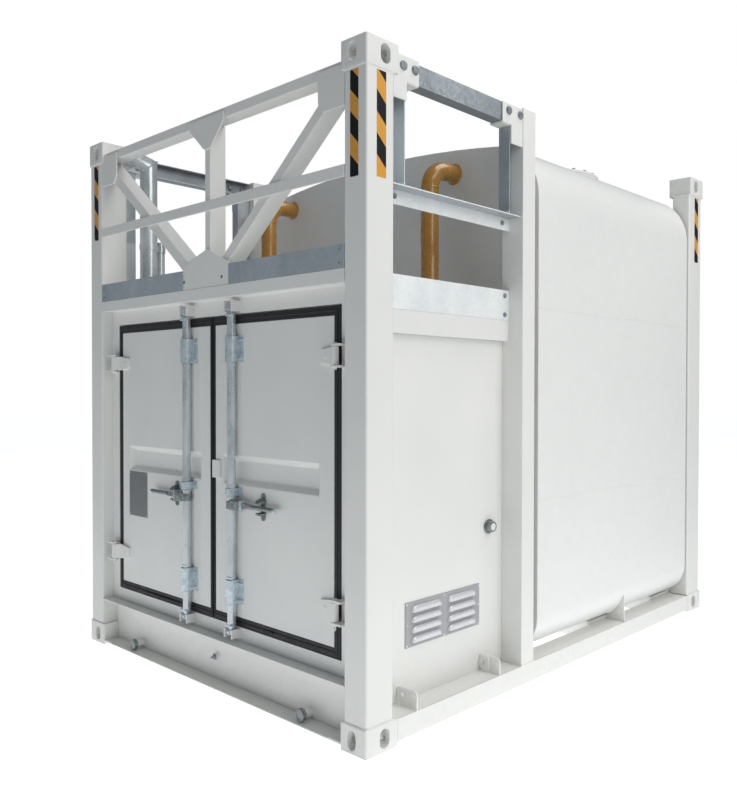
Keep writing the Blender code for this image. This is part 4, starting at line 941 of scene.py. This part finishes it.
# Door seals: extruded black rubber clamped round each leaf, with a raised lip that presses on
# the frame.
for side_name, side in sides.items():
    seal = soften(shape_of("door_seal_" + side_name), 0.003)
    near_x, far_x, low_z, high_z = side * 0.0145, side * 0.963, 0.360, 1.818
    lip_y = -1.4305
    sweep(seal, [(side * 0.5, lip_y, low_z), (far_x, lip_y, low_z), (far_x, lip_y, high_z),
                 (near_x, lip_y, high_z), (near_x, lip_y, low_z), (side * 0.5, lip_y, low_z)], 0.0055, 12)
    piece("door_seal_finished_" + side_name, seal, rubber, side_name + "_door", ("door_seal_" + side_name,))

# Lock rods: galvanised tube turning in the bearing brackets, with collars over them and a cast
# cam at each end. A cast hub with a plated band clamps the hand lever, which rests in its catch.
rod_y, lever_z, lever_end = -1.458, 0.930, 0.360
for side_name, side in sides.items():
    body = side_name + "_lock_rod"
    axis = Vector((side * 0.205, rod_y, 0.0))
    rod = bmesh.new()
    turned(rod, [(0.0, 0.300), (0.0125, 0.300), (0.0145, 0.303), (0.0145, 0.336), (0.0185, 0.342),
                 (0.0198, 0.346), (0.0198, 1.846), (0.0185, 1.850), (0.0145, 1.856), (0.0145, 1.892),
                 (0.0125, 1.895), (0.0, 1.895)], axis, (0, 0, 1), 40)
    for collar in (0.4405, 0.5745, 1.6015, 1.7435, 1.0155, 0.9615):
        turned(rod, [(0.019, -0.0065), (0.0222, -0.0065), (0.0228, -0.005), (0.0228, 0.005),
                     (0.0222, 0.0065), (0.019, 0.0065)], axis + Vector((0, 0, collar)), (0, 0, 1), 32)
    piece("lock_rod_finished_" + side_name, rod, bright_pipe, body, ("lock_rod_" + side_name,))
    cams = bmesh.new()
    for low, high, horn in ((0.303, 0.325, 0.336), (1.858, 1.890, 1.829)):
        turned(cams, [(0.0, low), (0.0178, low), (0.0190, low + 0.0015), (0.0190, high - 0.0015),
                      (0.0178, high), (0.0, high)], axis, (0, 0, 1), 28)
        slab(cams, (axis.x - 0.009, axis.x + 0.009), (rod_y - 0.0225, rod_y - 0.010),
             (low + 0.003, high - 0.003), 0.003, 3)
        slab(cams, (axis.x - side * 0.0215, axis.x + side * 0.031), (rod_y - 0.0205, rod_y - 0.004),
             (horn, horn + 0.0155), 0.004, 3)
    piece("rod_cams_" + side_name, cams, zinc, body)
    lever = bmesh.new()
    hub_end, bar_end, stop = axis.x + side * 0.085, axis.x + side * 0.180, axis.x + side * lever_end
    slab(lever, (axis.x + side * 0.011, hub_end), (rod_y - 0.0245, rod_y + 0.008),
         (lever_z - 0.026, lever_z + 0.022), 0.0045, 3)
    turned(lever, [(0.0, 0.0), (0.0075, 0.0), (0.0065, 0.003), (0.0, 0.0042)],
           (axis.x + side * 0.040, rod_y - 0.0243, lever_z), (0, -1, 0), 16)
    bar = [(hub_end - side * 0.004, 0.0145), (bar_end, 0.0105), (bar_end, -0.0105),
           (hub_end - side * 0.004, -0.0145)]
    prism(lever, [(x, lever_z + z) for x, z in bar], rod_y - 0.012, rod_y + 0.004, 0.003, strip_way)
    sweep(lever, [(bar_end - side * 0.012, rod_y - 0.004, lever_z),
                  (bar_end + side * 0.030, rod_y - 0.002, lever_z),
                  (stop - side * 0.006, rod_y - 0.002, lever_z)], 0.0112, 20)
    turned(lever, [(0.0205, -0.020), (0.0238, -0.020), (0.0248, -0.017), (0.0248, 0.013), (0.0238, 0.016),
                   (0.0205, 0.016)], axis + Vector((0, 0, lever_z - 0.002)), (0, 0, 1), 28)
    piece("lever_" + side_name, lever, dark_zinc, body)
    plated = bmesh.new()
    slab(plated, (hub_end - side * 0.001, hub_end + side * 0.020), (rod_y - 0.0185, rod_y + 0.009),
         (lever_z - 0.0245, lever_z + 0.0235), 0.003, 3)
    turned(plated, [(0.0, -0.010), (0.0108, -0.010), (0.0119, -0.008), (0.0119, 0.003), (0.0100, 0.006),
                    (0.0, 0.0066)], (stop - side * 0.0066, rod_y - 0.002, lever_z), (side, 0, 0), 20)
    piece("lever_plating_" + side_name, plated, zinc, body)
